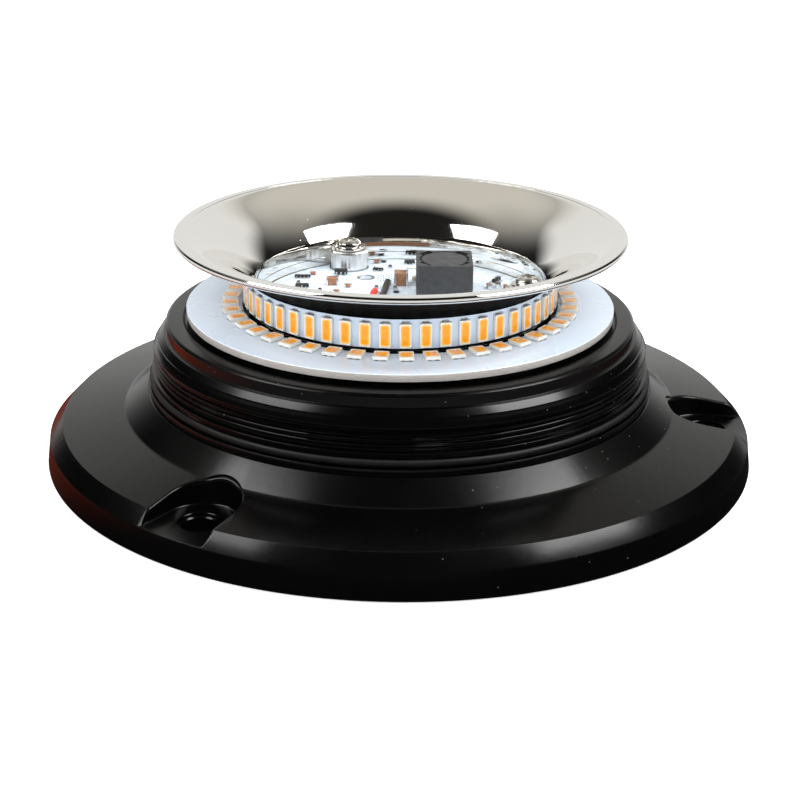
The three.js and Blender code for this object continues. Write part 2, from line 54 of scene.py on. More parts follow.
# Three pockets, bosses and screws share one pattern; the cover's screws stand halfway between them.
PATTERN_COUNT = 3
PATTERN_STEP = 360 / PATTERN_COUNT
PATTERN_PHASE = -4.6
COVER_PHASE = PATTERN_PHASE + PATTERN_STEP / 2
SCREW_CIRCLE = 28.6
COVER_SCREW_CIRCLE = 45.0


def corners_of(node):
    """Lowest and highest corner of a CAD node at rest, in millimetres."""
    return [[round(v / MM, 2) for v in corner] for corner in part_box(node)]


def middle_of(node):
    """Middle of a CAD node seen from above, in millimetres."""
    low, high = corners_of(node)
    return round((low[0] + high[0]) / 2, 2), round((low[1] + high[1]) / 2, 2)


DRIVER_TOP = corners_of("driver_board")[1][2]
BOARD_BASE = DRIVER_TOP + 0.05
INDUCTOR = middle_of("inductor_shield")
WIRE_HOLE = (-5.2, -0.6)
BOARD_HOLE = (-8.1, 17.0)


# ---------- mesh gathering ----------
class Body:
    """Vertices and faces of one piece in millimetres, with a material slot for each face."""

    def __init__(self):
        self.vertices = []
        self.faces = []
        self.slots = []

    def add(self, shape, slot=0, place=None):
        """Adds a shape's vertices, faces and slots, with its slots counted on from the given one."""
        vertices, faces, slots = shape
        start = len(self.vertices)
        self.vertices.extend(tuple(v) if place is None else tuple(place @ Vector(v)) for v in vertices)
        self.faces.extend([start + i for i in face] for face in faces)
        self.slots.extend(slot + s for s in slots)
        return self

    def shape(self):
        return self.vertices, self.faces, self.slots

    def make(self, name, materials):
        mesh = bpy.data.meshes.new(name)
        mesh.from_pydata([(x * MM, y * MM, z * MM) for x, y, z in self.vertices], [], self.faces)
        for one in materials:
            mesh.materials.append(one)
        mesh.polygons.foreach_set("material_index", self.slots)
        mesh.update()
        shade(mesh, SHARP)
        thing = bpy.data.objects.new(name, mesh)
        bpy.context.scene.collection.objects.link(thing)
        return thing


def shade(mesh, sharp):
    mesh.shade_smooth()
    mesh.set_sharp_from_angle(angle=math.radians(sharp))


def carve(thing, tools, sharp=SHARP, operation="DIFFERENCE", keep_materials=False):
    """Applies boolean cuts or joins and removes the objects that made them."""
    for tool_object in tools:
        step = thing.modifiers.new("cut", "BOOLEAN")
        step.operation = operation
        step.solver = "MANIFOLD"
        step.object = tool_object
        if keep_materials:
            step.material_mode = "TRANSFER"
    bpy.context.view_layer.update()
    graph = bpy.context.evaluated_depsgraph_get()
    result = bpy.data.meshes.new_from_object(thing.evaluated_get(graph), depsgraph=graph)
    thing.modifiers.clear()
    old = thing.data
    thing.data = result
    result.name = thing.name
    bpy.data.meshes.remove(old)
    for tool_object in tools:
        mesh = tool_object.data
        bpy.data.objects.remove(tool_object)
        bpy.data.meshes.remove(mesh)
    shade(result, sharp)
    return thing


def settle(thing, rides, node=None):
    """Says which body a piece moves with, and hides the CAD node that it stands for."""
    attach(thing, rides)
    if node:
        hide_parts(node)


def finished(body, name, materials, rides, node=None):
    settle(body.make(name, materials), rides, node)


# ---------- shapes ----------
def rounded(corners, steps=4):
    """A closed outline from (radius, height, fillet) corners, with an arc in place of each filleted one."""
    outline = []
    count = len(corners)
    for i, (r, z, fillet) in enumerate(corners):
        point = Vector((r, z))
        if fillet <= 0:
            outline.append((r, z))
            continue
        before = Vector(corners[i - 1][:2]) - point
        after = Vector(corners[(i + 1) % count][:2]) - point
        half = before.angle(after) / 2
        reach = fillet / math.tan(half) if half < math.pi / 2 - 1e-3 else 0
        reach = min(reach, 0.45 * before.length, 0.45 * after.length)
        if reach < 1e-4:
            outline.append((r, z))
            continue
        first = point + before.normalized() * reach
        last = point + after.normalized() * reach
        for k in range(steps + 1):
            t = k / steps
            spot = first * (1 - t) ** 2 + point * (2 * t * (1 - t)) + last * t**2
            outline.append((spot.x, spot.y))
    return outline


def turned(outline, segments=MEDIUM, radius_at=None, slot_at=None):
    """A closed outline turned about Z. radius_at(radius, height, angle) may shape it further."""
    vertices, rows = [], []
    for r, z in outline:
        if r < 1e-6:
            rows.append([len(vertices)])
            vertices.append((0.0, 0.0, z))
            continue
        row = []
        for k in range(segments):
            angle = TAU * k / segments
            reach = radius_at(r, z, angle) if radius_at else r
            row.append(len(vertices))
            vertices.append((reach * math.cos(angle), reach * math.sin(angle), z))
        rows.append(row)
    faces, slots = [], []
    for i, low in enumerate(rows):
        high = rows[(i + 1) % len(rows)]
        if len(low) == 1 and len(high) == 1:
            continue
        here, there = outline[i], outline[(i + 1) % len(rows)]
        slot = slot_at((here[0] + there[0]) / 2, (here[1] + there[1]) / 2) if slot_at else 0
        for k in range(segments):
            n = (k + 1) % segments
            if len(low) == 1:
                face = [low[0], high[n], high[k]]
            elif len(high) == 1:
                face = [low[k], low[n], high[0]]
            else:
                face = [low[k], low[n], high[n], high[k]]
            faces.append(face)
            slots.append(slot)
    return vertices, faces, slots


def skinned(loops, slots=None):
    """Loops of 3-D points with equal counts, joined in order and closed at both ends.

    slots has one number for each loop: that of the band above it, or of the cap on the last one.
    """
    slots = slots or [0] * len(loops)
    vertices = [point for loop in loops for point in loop]
    faces, own = [], []
    count = len(loops[0])
    for i, slot in enumerate(slots[:-1]):
        a, b = i * count, (i + 1) * count
        for k in range(count):
            n = (k + 1) % count
            faces.append([a + k, a + n, b + n, b + k])
            own.append(slot)
    last = (len(loops) - 1) * count
    faces += [list(range(count))[::-1], [last + k for k in range(count)]]
    own += [slots[0], slots[-1]]
    return vertices, faces, own


def stacked(loops, slots=None):
    """A skin over flat loops, each given as (points, height)."""
    return skinned([[(x, y, height) for x, y in points] for points, height in loops], slots)


def rectangle_loop(wide, deep, corner, steps=3):
    points = []
    for sx, sy, start in ((1, 1, 0), (-1, 1, 90), (-1, -1, 180), (1, -1, 270)):
        for k in range(steps + 1):
            angle = math.radians(start + 90 * k / steps)
            points.append((sx * (wide / 2 - corner) + corner * math.cos(angle),
                           sy * (deep / 2 - corner) + corner * math.sin(angle)))
    return points


def slab(wide, deep, high, edge=0.15, corner=None):
    """A block with rounded upright corners and softened top and bottom edges, standing on z = 0."""
    corner = edge * 1.5 if corner is None else corner
    full = rectangle_loop(wide, deep, corner)
    drawn = rectangle_loop(wide - 2 * edge, deep - 2 * edge, max(corner - edge, edge * 0.3))
    middle = rectangle_loop(wide - 0.6 * edge, deep - 0.6 * edge, max(corner - 0.3 * edge, edge * 0.3))
    return stacked([(drawn, 0.0), (middle, 0.3 * edge), (full, edge),
                    (full, high - edge), (middle, high - 0.3 * edge), (drawn, high)])


def between(t, start, end, a, b):
    return a * ((end - t) / (end - start)) + b * ((t - start) / (end - start))


def curve_points(points, spacing):
    """Centripetal Catmull-Rom curve through the points, sampled about every spacing."""
    ends = [Vector(p) for p in points]
    controls = [2 * ends[0] - ends[1], *ends, 2 * ends[-1] - ends[-2]]
    sampled = []
    for i in range(1, len(controls) - 2):
        p = controls[i - 1:i + 3]
        knots = [0.0]
        for here, there in zip(p, p[1:]):
            knots.append(knots[-1] + (there - here).length ** 0.5)
        count = max(2, round((p[2] - p[1]).length / spacing))
        for k in range(count):
            t = knots[1] + (knots[2] - knots[1]) * k / count
            a = [between(t, knots[j], knots[j + 1], p[j], p[j + 1]) for j in range(3)]
            b = [between(t, knots[j], knots[j + 2], a[j], a[j + 1]) for j in range(2)]
            sampled.append(between(t, knots[1], knots[2], *b))
    sampled.append(ends[-1])
    return sampled


def tube(path, radius, sides=16, rounding=0.0):
    """A round section swept along a dense path, with flat or rounded ends."""
    last = len(path) - 1
    tangents = [(path[min(i + 1, last)] - path[max(i - 1, 0)]).normalized() for i in range(last + 1)]
    normal = tangents[0].orthogonal().normalized()
    sections = []
    for spot, along in zip(path, tangents):
        normal = (normal - along * normal.dot(along)).normalized()
        sections.append((spot, normal, along.cross(normal), radius))
    if rounding:
        blunt = radius * 0.45
        head, tail = sections[0], sections[-1]
        sections.insert(0, (head[0] - tangents[0] * rounding, head[1], head[2], blunt))
        sections.append((tail[0] + tangents[-1] * rounding, tail[1], tail[2], blunt))
    turns = [TAU * k / sides for k in range(sides)]
    return skinned([[spot + across * (reach * math.cos(a)) + other * (reach * math.sin(a)) for a in turns]
                    for spot, across, other, reach in sections])


def at(x, y, z, turn=0.0):
    return Matrix.Translation((x, y, z)) @ Matrix.Rotation(math.radians(turn), 4, "Z")


def on_circle(radius, angle, z=0.0):
    return Matrix.Rotation(math.radians(angle), 4, "Z") @ Matrix.Translation((radius, 0, z))


def quarter_turn(letter):
    return Matrix.Rotation(math.pi / 2, 4, letter)


def pattern_angle(index):
    return PATTERN_PHASE + index * PATTERN_STEP


def cover_angle(index):
    return COVER_PHASE + index * PATTERN_STEP


# ---------- materials ----------
class Graph:
    """Short calls for building a node tree."""

    def __init__(self, tree):
        self.tree = tree

    def feed(self, socket, value):
        """Links a socket to another one, or gives it a number, a vector or a colour."""
        if isinstance(value, bpy.types.NodeSocket):
            self.tree.links.new(value, socket)
        elif socket.type == "RGBA":
            socket.default_value = (*value, 1.0)
        else:
            socket.default_value = value

    def fill(self, node, inputs):
        for key, value in inputs.items():
            self.feed(node.inputs[key], value)

    def node(self, kind, inputs=None, **settings):
        node = self.tree.nodes.new("ShaderNode" + kind)
        for key, value in settings.items():
            setattr(node, key, value)
        self.fill(node, inputs or {})
        return node

    def calc(self, operation, a, b=0.0):
        return self.node("Math", {0: a, 1: b}, operation=operation).outputs[0]

    def times(self, first, *others):
        for other in others:
            first = self.calc("MULTIPLY", first, other)
        return first

    def span(self, value, low, high, to_low=0.0, to_high=1.0, smooth=False):
        """Runs from to_low to to_high as a value goes from low to high."""
        inputs = {"From Min": low, "From Max": high, "To Min": to_low, "To Max": to_high, "Value": value}
        return self.node("MapRange", inputs,
                         interpolation_type="SMOOTHSTEP" if smooth else "LINEAR").outputs["Result"]

    def mix(self, factor, a, b):
        return self.node("Mix", {"Factor": factor, "A": a, "B": b}, data_type="RGBA").outputs["Result"]

    def choose(self, factor, a, b):
        return self.node("MixShader", {0: factor, 1: a, 2: b}).outputs[0]


class Surface(Graph):
    """A principled material whose patterns are measured in millimetres."""

    def __init__(self, name, inputs=None):
        self.material = bpy.data.materials.new(name)
        self.material.use_nodes = True
        super().__init__(self.material.node_tree)
        self.shader = self.tree.nodes["Principled BSDF"]
        self.fill(self.shader, {"Coat Roughness": 0.08, **(inputs or {})})
        place = self.node("TexCoord").outputs["Object"]
        self.where = self.node("VectorMath", {0: place, "Scale": 1 / MM}, operation="SCALE").outputs[0]
        self.split = self.node("SeparateXYZ", {0: self.where})

    def axis(self, letter):
        return self.split.outputs[letter]

    def from_axis(self):
        """Distance from the Z axis."""
        squares = [self.calc("POWER", self.axis(letter), 2.0) for letter in "XY"]
        return self.calc("SQRT", self.calc("ADD", *squares))

    def stretched(self, x, y, z):
        return self.node("VectorMath", {0: self.where, 1: (x, y, z)}, operation="MULTIPLY").outputs[0]

    def around(self, turns, lift):
        """Coordinates that run round Z: (angle * turns, radius * lift, height * lift)."""
        angle = self.calc("ARCTAN2", self.axis("Y"), self.axis("X"))
        inputs = {0: self.times(angle, turns), 1: self.times(self.from_axis(), lift),
                  2: self.times(self.axis("Z"), lift)}
        return self.node("CombineXYZ", inputs).outputs[0]

    def noise(self, scale, detail=3.0, where=None):
        inputs = {"Scale": scale, "Detail": detail, "Vector": where or self.where}
        return self.node("TexNoise", inputs).outputs["Fac"]

    def cells(self, scale, metric="EUCLIDEAN"):
        inputs = {"Scale": scale, "Vector": self.where}
        return self.node("TexVoronoi", inputs, distance=metric).outputs["Distance"]

    def colour(self, factor, a, b):
        self.fill(self.shader, {"Base Color": self.mix(factor, a, b)})

    def rough(self, pattern, low, high, spread=(0.3, 0.7)):
        """Roughness from low to high, as a pattern goes through the range that it mostly keeps to."""
        self.fill(self.shader, {"Roughness": self.span(pattern, *spread, low, high)})

    def bump(self, *layers):
        """Relief from (pattern, depth, strength) layers, each laid over the one before."""
        over = {}
        for pattern, depth, strength in layers:
            inputs = {"Strength": strength, "Distance": depth * MM, "Height": pattern, **over}
            over = {"Normal": self.node("Bump", inputs).outputs["Normal"]}
        self.fill(self.shader, over)


def housing_material():
    """Satin black moulding with dust, and with scratches round the thread's crests."""
    s = Surface("satin_black_moulding", {"Specular IOR Level": 0.2})
    height = s.axis("Z")
    crest = s.times(s.span(height, 19.1, 19.4), s.span(height, 23.7, 23.3))
    hairline = s.noise(1.0, 3.0, s.around(2.2, 9.0))
    worn = s.times(crest, s.span(hairline, 0.62, 0.70), s.span(s.noise(0.06, 1.0), 0.48, 0.60))
    dust = s.times(s.span(s.cells(0.42), 0.06, 0.03), s.span(s.noise(0.03, 1.0), 0.52, 0.6), 0.5)
    black = s.mix(worn, (0.0008, 0.0008, 0.0008), (0.05, 0.05, 0.048))
    s.colour(dust, black, (0.30, 0.29, 0.27))
    s.rough(s.noise(0.05, 3.0), 0.15, 0.23)
    s.bump((s.noise(0.7, 2.0), 0.012, 0.5), (s.noise(2.6, 2.0), 0.004, 0.5), (worn, 0.03, 0.6))
    return s.material


def cover_material():
    s = Surface("matt_black_cover")
    scratch = s.noise(1.6, 4.0, s.stretched(0.12, 2.2, 1.0))
    s.colour(s.span(scratch, 0.6, 0.75), (0.017, 0.017, 0.018), (0.045, 0.045, 0.046))
    s.rough(s.noise(0.07, 3.0), 0.42, 0.6)
    s.bump((s.noise(4.2, 3.0), 0.025, 0.6))
    return s.material


def mask_material(name, tint, traces):
    """Solder mask with specks, and with copper traces showing through it if asked."""
    s = Surface(name, {"Coat Weight": 0.25 if traces else 0.08})
    cloud = s.noise(0.09, 3.0)
    base = s.mix(cloud, tint, tuple(c * 0.97 for c in tint))
    if traces:
        edge = s.cells(0.62, "CHEBYCHEV")
        other = s.cells(0.27, "MANHATTAN")
        line = s.times(s.span(edge, 0.40, 0.45), s.span(edge, 0.56, 0.51))
        run = s.times(s.span(other, 0.50, 0.53), s.span(other, 0.66, 0.63))
        copper = s.calc("MAXIMUM", line, run)
        base = s.mix(s.times(copper, 0.55), base, (0.50, 0.55, 0.60))
        s.bump((copper, 0.035, 0.5))
    else:
        s.bump((s.noise(0.8, 2.0), 0.004, 0.4))
    speck = s.times(s.span(s.cells(0.9), 0.05, 0.02), 0.25)
    s.colour(speck, base, (0.35, 0.34, 0.33))
    s.rough(cloud, 0.22, 0.36)
    return s.material


def metal_material(name, tint, low, high, turns=None, grain=0.02, metal=1.0):
    """Bare or plated metal with fine tool marks, run round Z if turns is given."""
    s = Surface(name, {"Metallic": metal})
    lines = s.noise(2.4, 3.0, s.around(turns, 5.0) if turns else s.stretched(1.0, 1.0, 6.0))
    s.colour(s.span(lines, 0.35, 0.7), tint, tuple(c * 0.78 for c in tint))
    s.rough(s.calc("ADD", lines, s.noise(0.35, 3.0)), low, high, (0.7, 1.3))
    s.bump((lines, grain, 0.5))
    return s.material


def chrome_material():
    """Mirror plating with a faint veil, ripples and pinholes."""
    s = Surface("mirror_plating", {"Metallic": 1.0})
    haze = s.noise(0.045, 3.0)
    s.colour(haze, (0.90, 0.885, 0.85), (0.86, 0.84, 0.80))
    pin = s.span(s.cells(0.33), 0.045, 0.015)
    veil = s.span(haze, 0.4, 0.8, 0.025, 0.085)
    s.fill(s.shader, {"Roughness": s.calc("ADD", veil, s.times(pin, 0.3))})
    s.bump((s.noise(0.55, 2.0), 0.004, 0.5), (pin, 0.03, 0.6))
    return s.material


def gloss_black_material():
    """Unplated moulding with faint lighter streaks that run round it."""
    s = Surface("gloss_black_moulding", {"Specular IOR Level": 0.05, "IOR": 1.15})
    streaks = s.noise(1.0, 3.0, s.around(2.0, 6.0))
    s.colour(s.times(s.span(streaks, 0.6, 0.7), 0.35), (0.0015, 0.0015, 0.0015), (0.07, 0.07, 0.066))
    s.rough(streaks, 0.24, 0.42)
    s.bump((s.noise(0.9, 2.0), 0.01, 0.5))
    return s.material


def toned_material(name, first, second, rough, tone, grain, spread=None, inputs=None):
    """Two tones in soft patches. tone is (scale, detail); grain is (scale, detail, depth, strength)."""
    s = Surface(name, inputs)
    patches = s.noise(*tone)
    s.colour(s.span(patches, *spread) if spread else patches, first, second)
    s.rough(patches, *rough)
    s.bump((s.noise(*grain[:2]), *grain[2:]))
    return s.material


def phosphor_material(name, deep, pale, painted_glow):
    # The emission paints a faint glow into the phosphor, which brightens it even where no light falls.
    return toned_material(name, deep, pale, (0.16, 0.3), (0.9, 3.0), (5.0, 3.0, 0.012, 0.5), (0.3, 0.7),
                          {"Coat Weight": 0.6, "Emission Color": deep, "Emission Strength": painted_glow})


def mottled_material(name, dark, light, rough, scale=1.2, grain=5.0, depth=0.03):
    """Moulded, ceramic or sintered material: two tones in soft patches with a fine surface grain."""
    s = Surface(name)
    s.colour(s.span(s.noise(scale, 4.0), 0.32, 0.68), dark, light)
    s.rough(s.noise(scale * 0.6, 3.0), *rough)
    s.bump((s.noise(grain, 3.0), depth, 0.6))
    return s.material


housing_black = housing_material()
cover_black = cover_material()
chrome = chrome_material()
gloss_black = gloss_black_material()
board_white = mask_material("white_mask_led_board", (0.70, 0.80, 0.92), False)
driver_white = mask_material("white_mask_driver_board", (0.72, 0.83, 0.95), True)
strip_white = mask_material("white_mask_strip", (0.66, 0.78, 0.93), False)
sheared_metal = metal_material("sheared_aluminium", (0.60, 0.57, 0.54), 0.3, 0.55,
                               turns=14.0, grain=0.05, metal=0.45)
steel = metal_material("nickel_plate", (0.80, 0.78, 0.74), 0.12, 0.28)
solder = metal_material("bright_solder", (0.82, 0.82, 0.80), 0.18, 0.42, grain=0.04)
gold_pad = metal_material("copper_pad", (0.80, 0.62, 0.36), 0.25, 0.45)
rubber_black = toned_material("matt_black_rubber", (0.0018, 0.0018, 0.0018), (0.004, 0.004, 0.004),
                              (0.45, 0.62), (0.16, 4.0), (3.5, 3.0, 0.02, 0.6), (0.35, 0.7),
                              {"Specular IOR Level": 0.35})
satin_plating = toned_material("satin_plating", (0.93, 0.92, 0.90), (0.84, 0.83, 0.80), (0.28, 0.42),
                               (0.6, 3.0), (1.4, 2.0, 0.02, 0.5), inputs={"Metallic": 1.0})
emitter_body = toned_material("emitter_body", (0.90, 0.89, 0.85), (0.84, 0.83, 0.78), (0.28, 0.45),
                              (0.5, 2.0), (6.0, 2.0, 0.012, 0.5))
phosphor = phosphor_material("amber_phosphor", (0.93, 0.33, 0.006), (0.95, 0.38, 0.012), 0.12)
phosphor_rim = phosphor_material("amber_phosphor_rim", (0.96, 0.52, 0.10), (0.96, 0.58, 0.15), 0.1)
ferrite = mottled_material("sintered_ferrite", (0.030, 0.031, 0.033), (0.044, 0.044, 0.046), (0.42, 0.6),
                           0.8, 4.0)
# A darker material that the inductor shield's notch cutters carry.
well_dark = mottled_material("inductor_well", (0.008, 0.008, 0.008), (0.02, 0.02, 0.02), (0.5, 0.7))
ceramic = mottled_material("brown_ceramic", (0.24, 0.105, 0.05), (0.34, 0.17, 0.09), (0.25, 0.4),
                           1.4, 6.0, 0.015)
chip_black = mottled_material("chip_moulding", (0.013, 0.013, 0.014), (0.028, 0.028, 0.030), (0.38, 0.55),
                              1.5, 8.0)
nylon = mottled_material("natural_nylon", (0.70, 0.70, 0.66), (0.80, 0.80, 0.77), (0.35, 0.55),
                         0.4, 3.0, 0.015)
red_wire = mottled_material("red_insulation", (0.58, 0.02, 0.012), (0.70, 0.05, 0.03), (0.28, 0.42),
                            0.9, 3.0, 0.01)
black_wire = mottled_material("black_insulation", (0.010, 0.010, 0.010), (0.022, 0.022, 0.022),
                              (0.28, 0.45), 0.9, 3.0, 0.01)
laminate = mottled_material("laminate_edge", (0.55, 0.52, 0.36), (0.66, 0.62, 0.44), (0.5, 0.7), 2.0, 6.0)


# ---------- base housing ----------
# The flange's top as (radius, height), from its rim to the foot of the neck.
FLANGE_EDGE = ((79.2, 5.8), (76.2, 8.9), (62.4, 11.43), (57.1, 15.7))
POCKET_FLOOR = 6.0
POCKET_HALF = 8.0
POCKET_BACK = 69.3
POCKET_LIP = 0.75
POCKET_MOUTH = 82.0
BOLT_CIRCLE = 70.0
THREAD_ROOT = 54.8
THREAD_LOW, THREAD_HIGH = 20.9, 24.6
THREAD_PITCH = 1.2
THREAD_RISE = 0.7
THREAD_ROW = 0.1
SCREW_HOLE = 1.8


def flange_height(radius):
    """Height of the flange's top at a radius, before the pockets."""
    if radius >= FLANGE_EDGE[0][0]:
        return FLANGE_EDGE[0][1]
    for (r0, z0), (r1, z1) in zip(FLANGE_EDGE, FLANGE_EDGE[1:]):
        if r1 <= radius <= r0:
            return z0 + (z1 - z0) * (r0 - radius) / (r0 - r1)
    return FLANGE_EDGE[-1][1]


def housing_outline():
    """Flange, neck, seal groove, thread, collar and deck, then the cavity from its roof to its mouth."""
    corners = [(79.5, 0.0, 0.2), (79.9, 0.4, 0.3)]
    corners += [(*point, fillet) for point, fillet in zip(FLANGE_EDGE, (0.25, 0.45, 1.6, 0.15))]
    corners += [
        (56.4, 15.8, 0.1), (56.4, 16.3, 0.1), (56.9, 16.5, 0.15), (56.8, 17.3, 0.12), (54.7, 17.3, 0.15),
        (54.7, 19.2, 0.15), (56.0, 19.2, 0.12), (56.0, 20.4, 0.15), (54.8, 20.6, 0.12),
    ]
    rows = round((THREAD_HIGH - THREAD_LOW) / THREAD_ROW)
    corners += [(THREAD_ROOT, THREAD_LOW + THREAD_ROW * k, 0) for k in range(rows + 1)]
    corners += [
        (54.8, 24.8, 0.12), (55.4, 25.1, 0.15), (55.4, 25.6, 0.4), (54.85, 26.5, 0.8), (54.4, 27.1, 0.15),
        (54.3, 27.35, 0.12), (53.1, 28.6, 0.5), (52.5, 28.8, 0.2), (52.5, 31.05, 0.3), (51.9, 31.5, 0.4),
        (48.7, 31.6, 0.25), (48.3, 31.1, 0.15), (46.6, 31.1, 0.2), (46.6, 32.4, 0.2),
        (35.0, 32.4, 0.35), (35.0, 31.0, 0.2), (9.5, 31.0, 0.4), (9.5, 27.4, 0.4), (51.0, 27.4, 1.2),
        (51.0, 14.0, 0.3), (53.2, 14.0, 0.2), (53.2, 0.0, 0.3),
    ]
    return rounded(corners)


def thread_radius(radius, height, angle):
    """A fine helical thread round the neck that fades out at its two ends."""
    if abs(radius - THREAD_ROOT) > 0.03 or not THREAD_LOW < height < THREAD_HIGH:
        return radius
    turn = (height - THREAD_LOW) / THREAD_PITCH - angle / TAU
    offset = (turn - round(turn)) * THREAD_PITCH
    fade = min(1.0, (height - THREAD_LOW) / 0.4, (THREAD_HIGH - height) / 0.4)
    return radius + THREAD_RISE * fade * math.exp(-((offset / 0.34) ** 4))


def tool(shape, place=None, material=housing_black):
    """An object that only cuts or joins another piece."""
    return Body().add(shape, 0, place).make("tool", [material])


def pocket_cutter(index):
    """U-shaped pocket, open outwards, with a filleted floor and a lip rolled over at the flange's top."""
    straight, arc = 14, 28
    runs = [POCKET_MOUTH + (POCKET_BACK - POCKET_MOUTH) * k / straight for k in range(straight)]
    back = [POCKET_BACK + (POCKET_MOUTH - POCKET_BACK) * k / straight for k in range(1, straight + 1)]
    turns = [math.pi / 2 + math.pi * k / arc for k in range(arc + 1)]
    outline = [(x, POCKET_HALF, 0.0, 1.0) for x in runs]
    for a in turns:
        nx, ny = math.cos(a), math.sin(a)
        outline.append((POCKET_BACK + POCKET_HALF * nx, POCKET_HALF * ny, nx, ny))
    outline += [(x, -POCKET_HALF, 0.0, -1.0) for x in back]

    def loop(rule):
        """One loop of the wall; rule(top, lip) gives its growth outwards and its height."""
        points = []
        for x, y, nx, ny in outline:
            top = flange_height(math.hypot(x, y))
            lip = max(0.05, min(POCKET_LIP, 0.45 * (top - POCKET_FLOOR)))
            grow, height = rule(max(top, POCKET_FLOOR + 0.2), lip)
            points.append((x + nx * grow, y + ny * grow, height))
        return points

    loops = []
    fillet = 0.7
    for k in range(4):
        a = math.pi / 2 * k / 3
        shrink, lift = fillet * (1 - math.sin(a)), fillet * (1 - math.cos(a))
        loops.append(loop(lambda top, lip: (-shrink, POCKET_FLOOR + min(lift, 0.3 * (top - POCKET_FLOOR)))))
    for k in range(6):
        a = k / 5 * math.radians(82)
        loops.append(loop(lambda top, lip: (lip * (1 - math.cos(a)), top - lip + lip * math.sin(a))))
    loops.append(loop(lambda top, lip: (lip * 1.5, 20.0)))
    return tool(skinned(loops), on_circle(0, pattern_angle(index)))


def hole_cutter(radius, bottom, top, place, edge=0.0, sides=MEDIUM):
    """A round hole, with a chamfer at its top if edge is given."""
    corners = [(0, bottom), (radius, bottom), (radius, top - edge)]
    if edge:
        corners += [(radius + edge, top), (radius + edge, top + 1.0), (0, top + 1.0)]
    else:
        corners += [(0, top)]
    return tool(turned(corners, sides), place)


def relief_cutter(angle):
    """A curved pocket that lightens the flange from below."""
    inner, outer, deep, half, steps = 62.5, 73.0, 6.0, math.radians(12), 16
    turns = [-half + 2 * half * k / steps for k in range(steps + 1)]
    loop = [(outer * math.cos(a), outer * math.sin(a)) for a in turns]
    loop += [(inner * math.cos(a), inner * math.sin(a)) for a in turns[::-1]]
    middle = Vector(((inner + outer) / 2, 0))
    drawn = [tuple(middle + (Vector(p) - middle) * 0.93) for p in loop]
    return tool(stacked([(loop, -1.0), (loop, deep - 0.6), (drawn, deep)]), on_circle(0, angle))


def build_housing():
    housing = Body().add(turned(housing_outline(), FINE, thread_radius)).make("base_shell", [housing_black])
    post = turned([(0, 18.0), (3.7, 18.0), (4.0, 18.4), (4.0, 28.4), (0, 28.4)], SMALL)
    boss = turned([(0, 14.0), (4.0, 14.0), (4.0, 28.4), (0, 28.4)], SMALL)
    joins = []
    for i in range(PATTERN_COUNT):
        joins.append(tool(post, on_circle(SCREW_CIRCLE, pattern_angle(i))))
        joins.append(tool(boss, on_circle(COVER_SCREW_CIRCLE, cover_angle(i))))
    carve(housing, joins, operation="UNION")
    groove = rounded([(55.1, -1.0, 0), (60.5, -1.0, 0), (60.5, 2.0, 0.2), (55.1, 2.0, 0.2)])
    cutters = [tool(turned(groove, FINE))]
    for i in range(PATTERN_COUNT):
        bolt = on_circle(BOLT_CIRCLE, pattern_angle(i))
        screw = on_circle(SCREW_CIRCLE, pattern_angle(i))
        cover_screw = on_circle(COVER_SCREW_CIRCLE, cover_angle(i))
        cutters += [
            pocket_cutter(i),
            hole_cutter(3.5, -1.0, 5.5, bolt, 0.25),
            hole_cutter(4.4, 5.5, 6.05, bolt, 0.15),
            hole_cutter(SCREW_HOLE, 16.0, 31.0, screw, 0.3, SMALL),
            hole_cutter(SCREW_HOLE, 13.0, 22.0, cover_screw, 0.0, SMALL),
        ]
        cutters += [relief_cutter(cover_angle(i) + side * 27) for side in (-1, 0, 1)]
    return carve(housing, cutters, sharp=40)


settle(build_housing(), "base", "base_housing")


# ---------- seals, cover, grommet ----------
def build_seals():
    turns = [TAU * k / 24 for k in range(24)]
    seal = [(55.7 + 0.85 * math.cos(a), 18.25 + 0.85 * math.sin(a)) for a in turns]
    gasket = rounded([(55.4, 0.0, 0.25), (57.0, 0.0, 0.1), (57.2, 0.35, 0.1), (58.4, 0.35, 0.1),
                      (58.6, 0.0, 0.1), (60.2, 0.0, 0.25), (60.2, 1.7, 0.25), (55.4, 1.7, 0.25)])
    grommet = rounded([(3.0, 9.8, 0.4), (6.6, 9.8, 0.5), (7.2, 10.4, 0.4), (7.2, 11.2, 0.2),
                       (5.4, 11.2, 0.1), (5.4, 14.0, 0.1), (7.2, 14.0, 0.2), (6.2, 15.4, 0.5),
                       (3.0, 15.4, 0.4)])
    for name, node, outline, segments in (("dome_seal", "dome_seal_ring", seal, FINE),
                                          ("foot_gasket", "mounting_gasket", gasket, FINE),
                                          ("grommet", "cable_grommet", grommet, MEDIUM)):
        body = Body().add(turned(outline, segments))
        finished(body, name, [rubber_black], "base", node)


def build_cover():
    """A round plate with four shallow grooves underneath and a hole for the cable."""
    low, high = (corner[2] for corner in corners_of("bottom_cover"))
    corners = [(5.7, low, 0.3)]
    for start in (16.0, 24.0, 32.0, 38.5):
        corners += [(start, low, 0.2), (start + 0.3, low + 0.5, 0.2), (start + 1.7, low + 0.5, 0.2),
                    (start + 2.0, low, 0.2)]
    corners += [(52.9, low, 0.6), (52.9, high, 0.2), (5.7, high, 0.3)]
    plate = Body().add(turned(rounded(corners, 3), FINE)).make("cover_plate", [cover_black])
    places = [on_circle(COVER_SCREW_CIRCLE, cover_angle(i)) for i in range(PATTERN_COUNT)]
    return carve(plate, [hole_cutter(SCREW_HOLE, low - 1, high + 1, place, 0.0, SMALL) for place in places])


build_seals()
settle(build_cover(), "base", "bottom_cover")


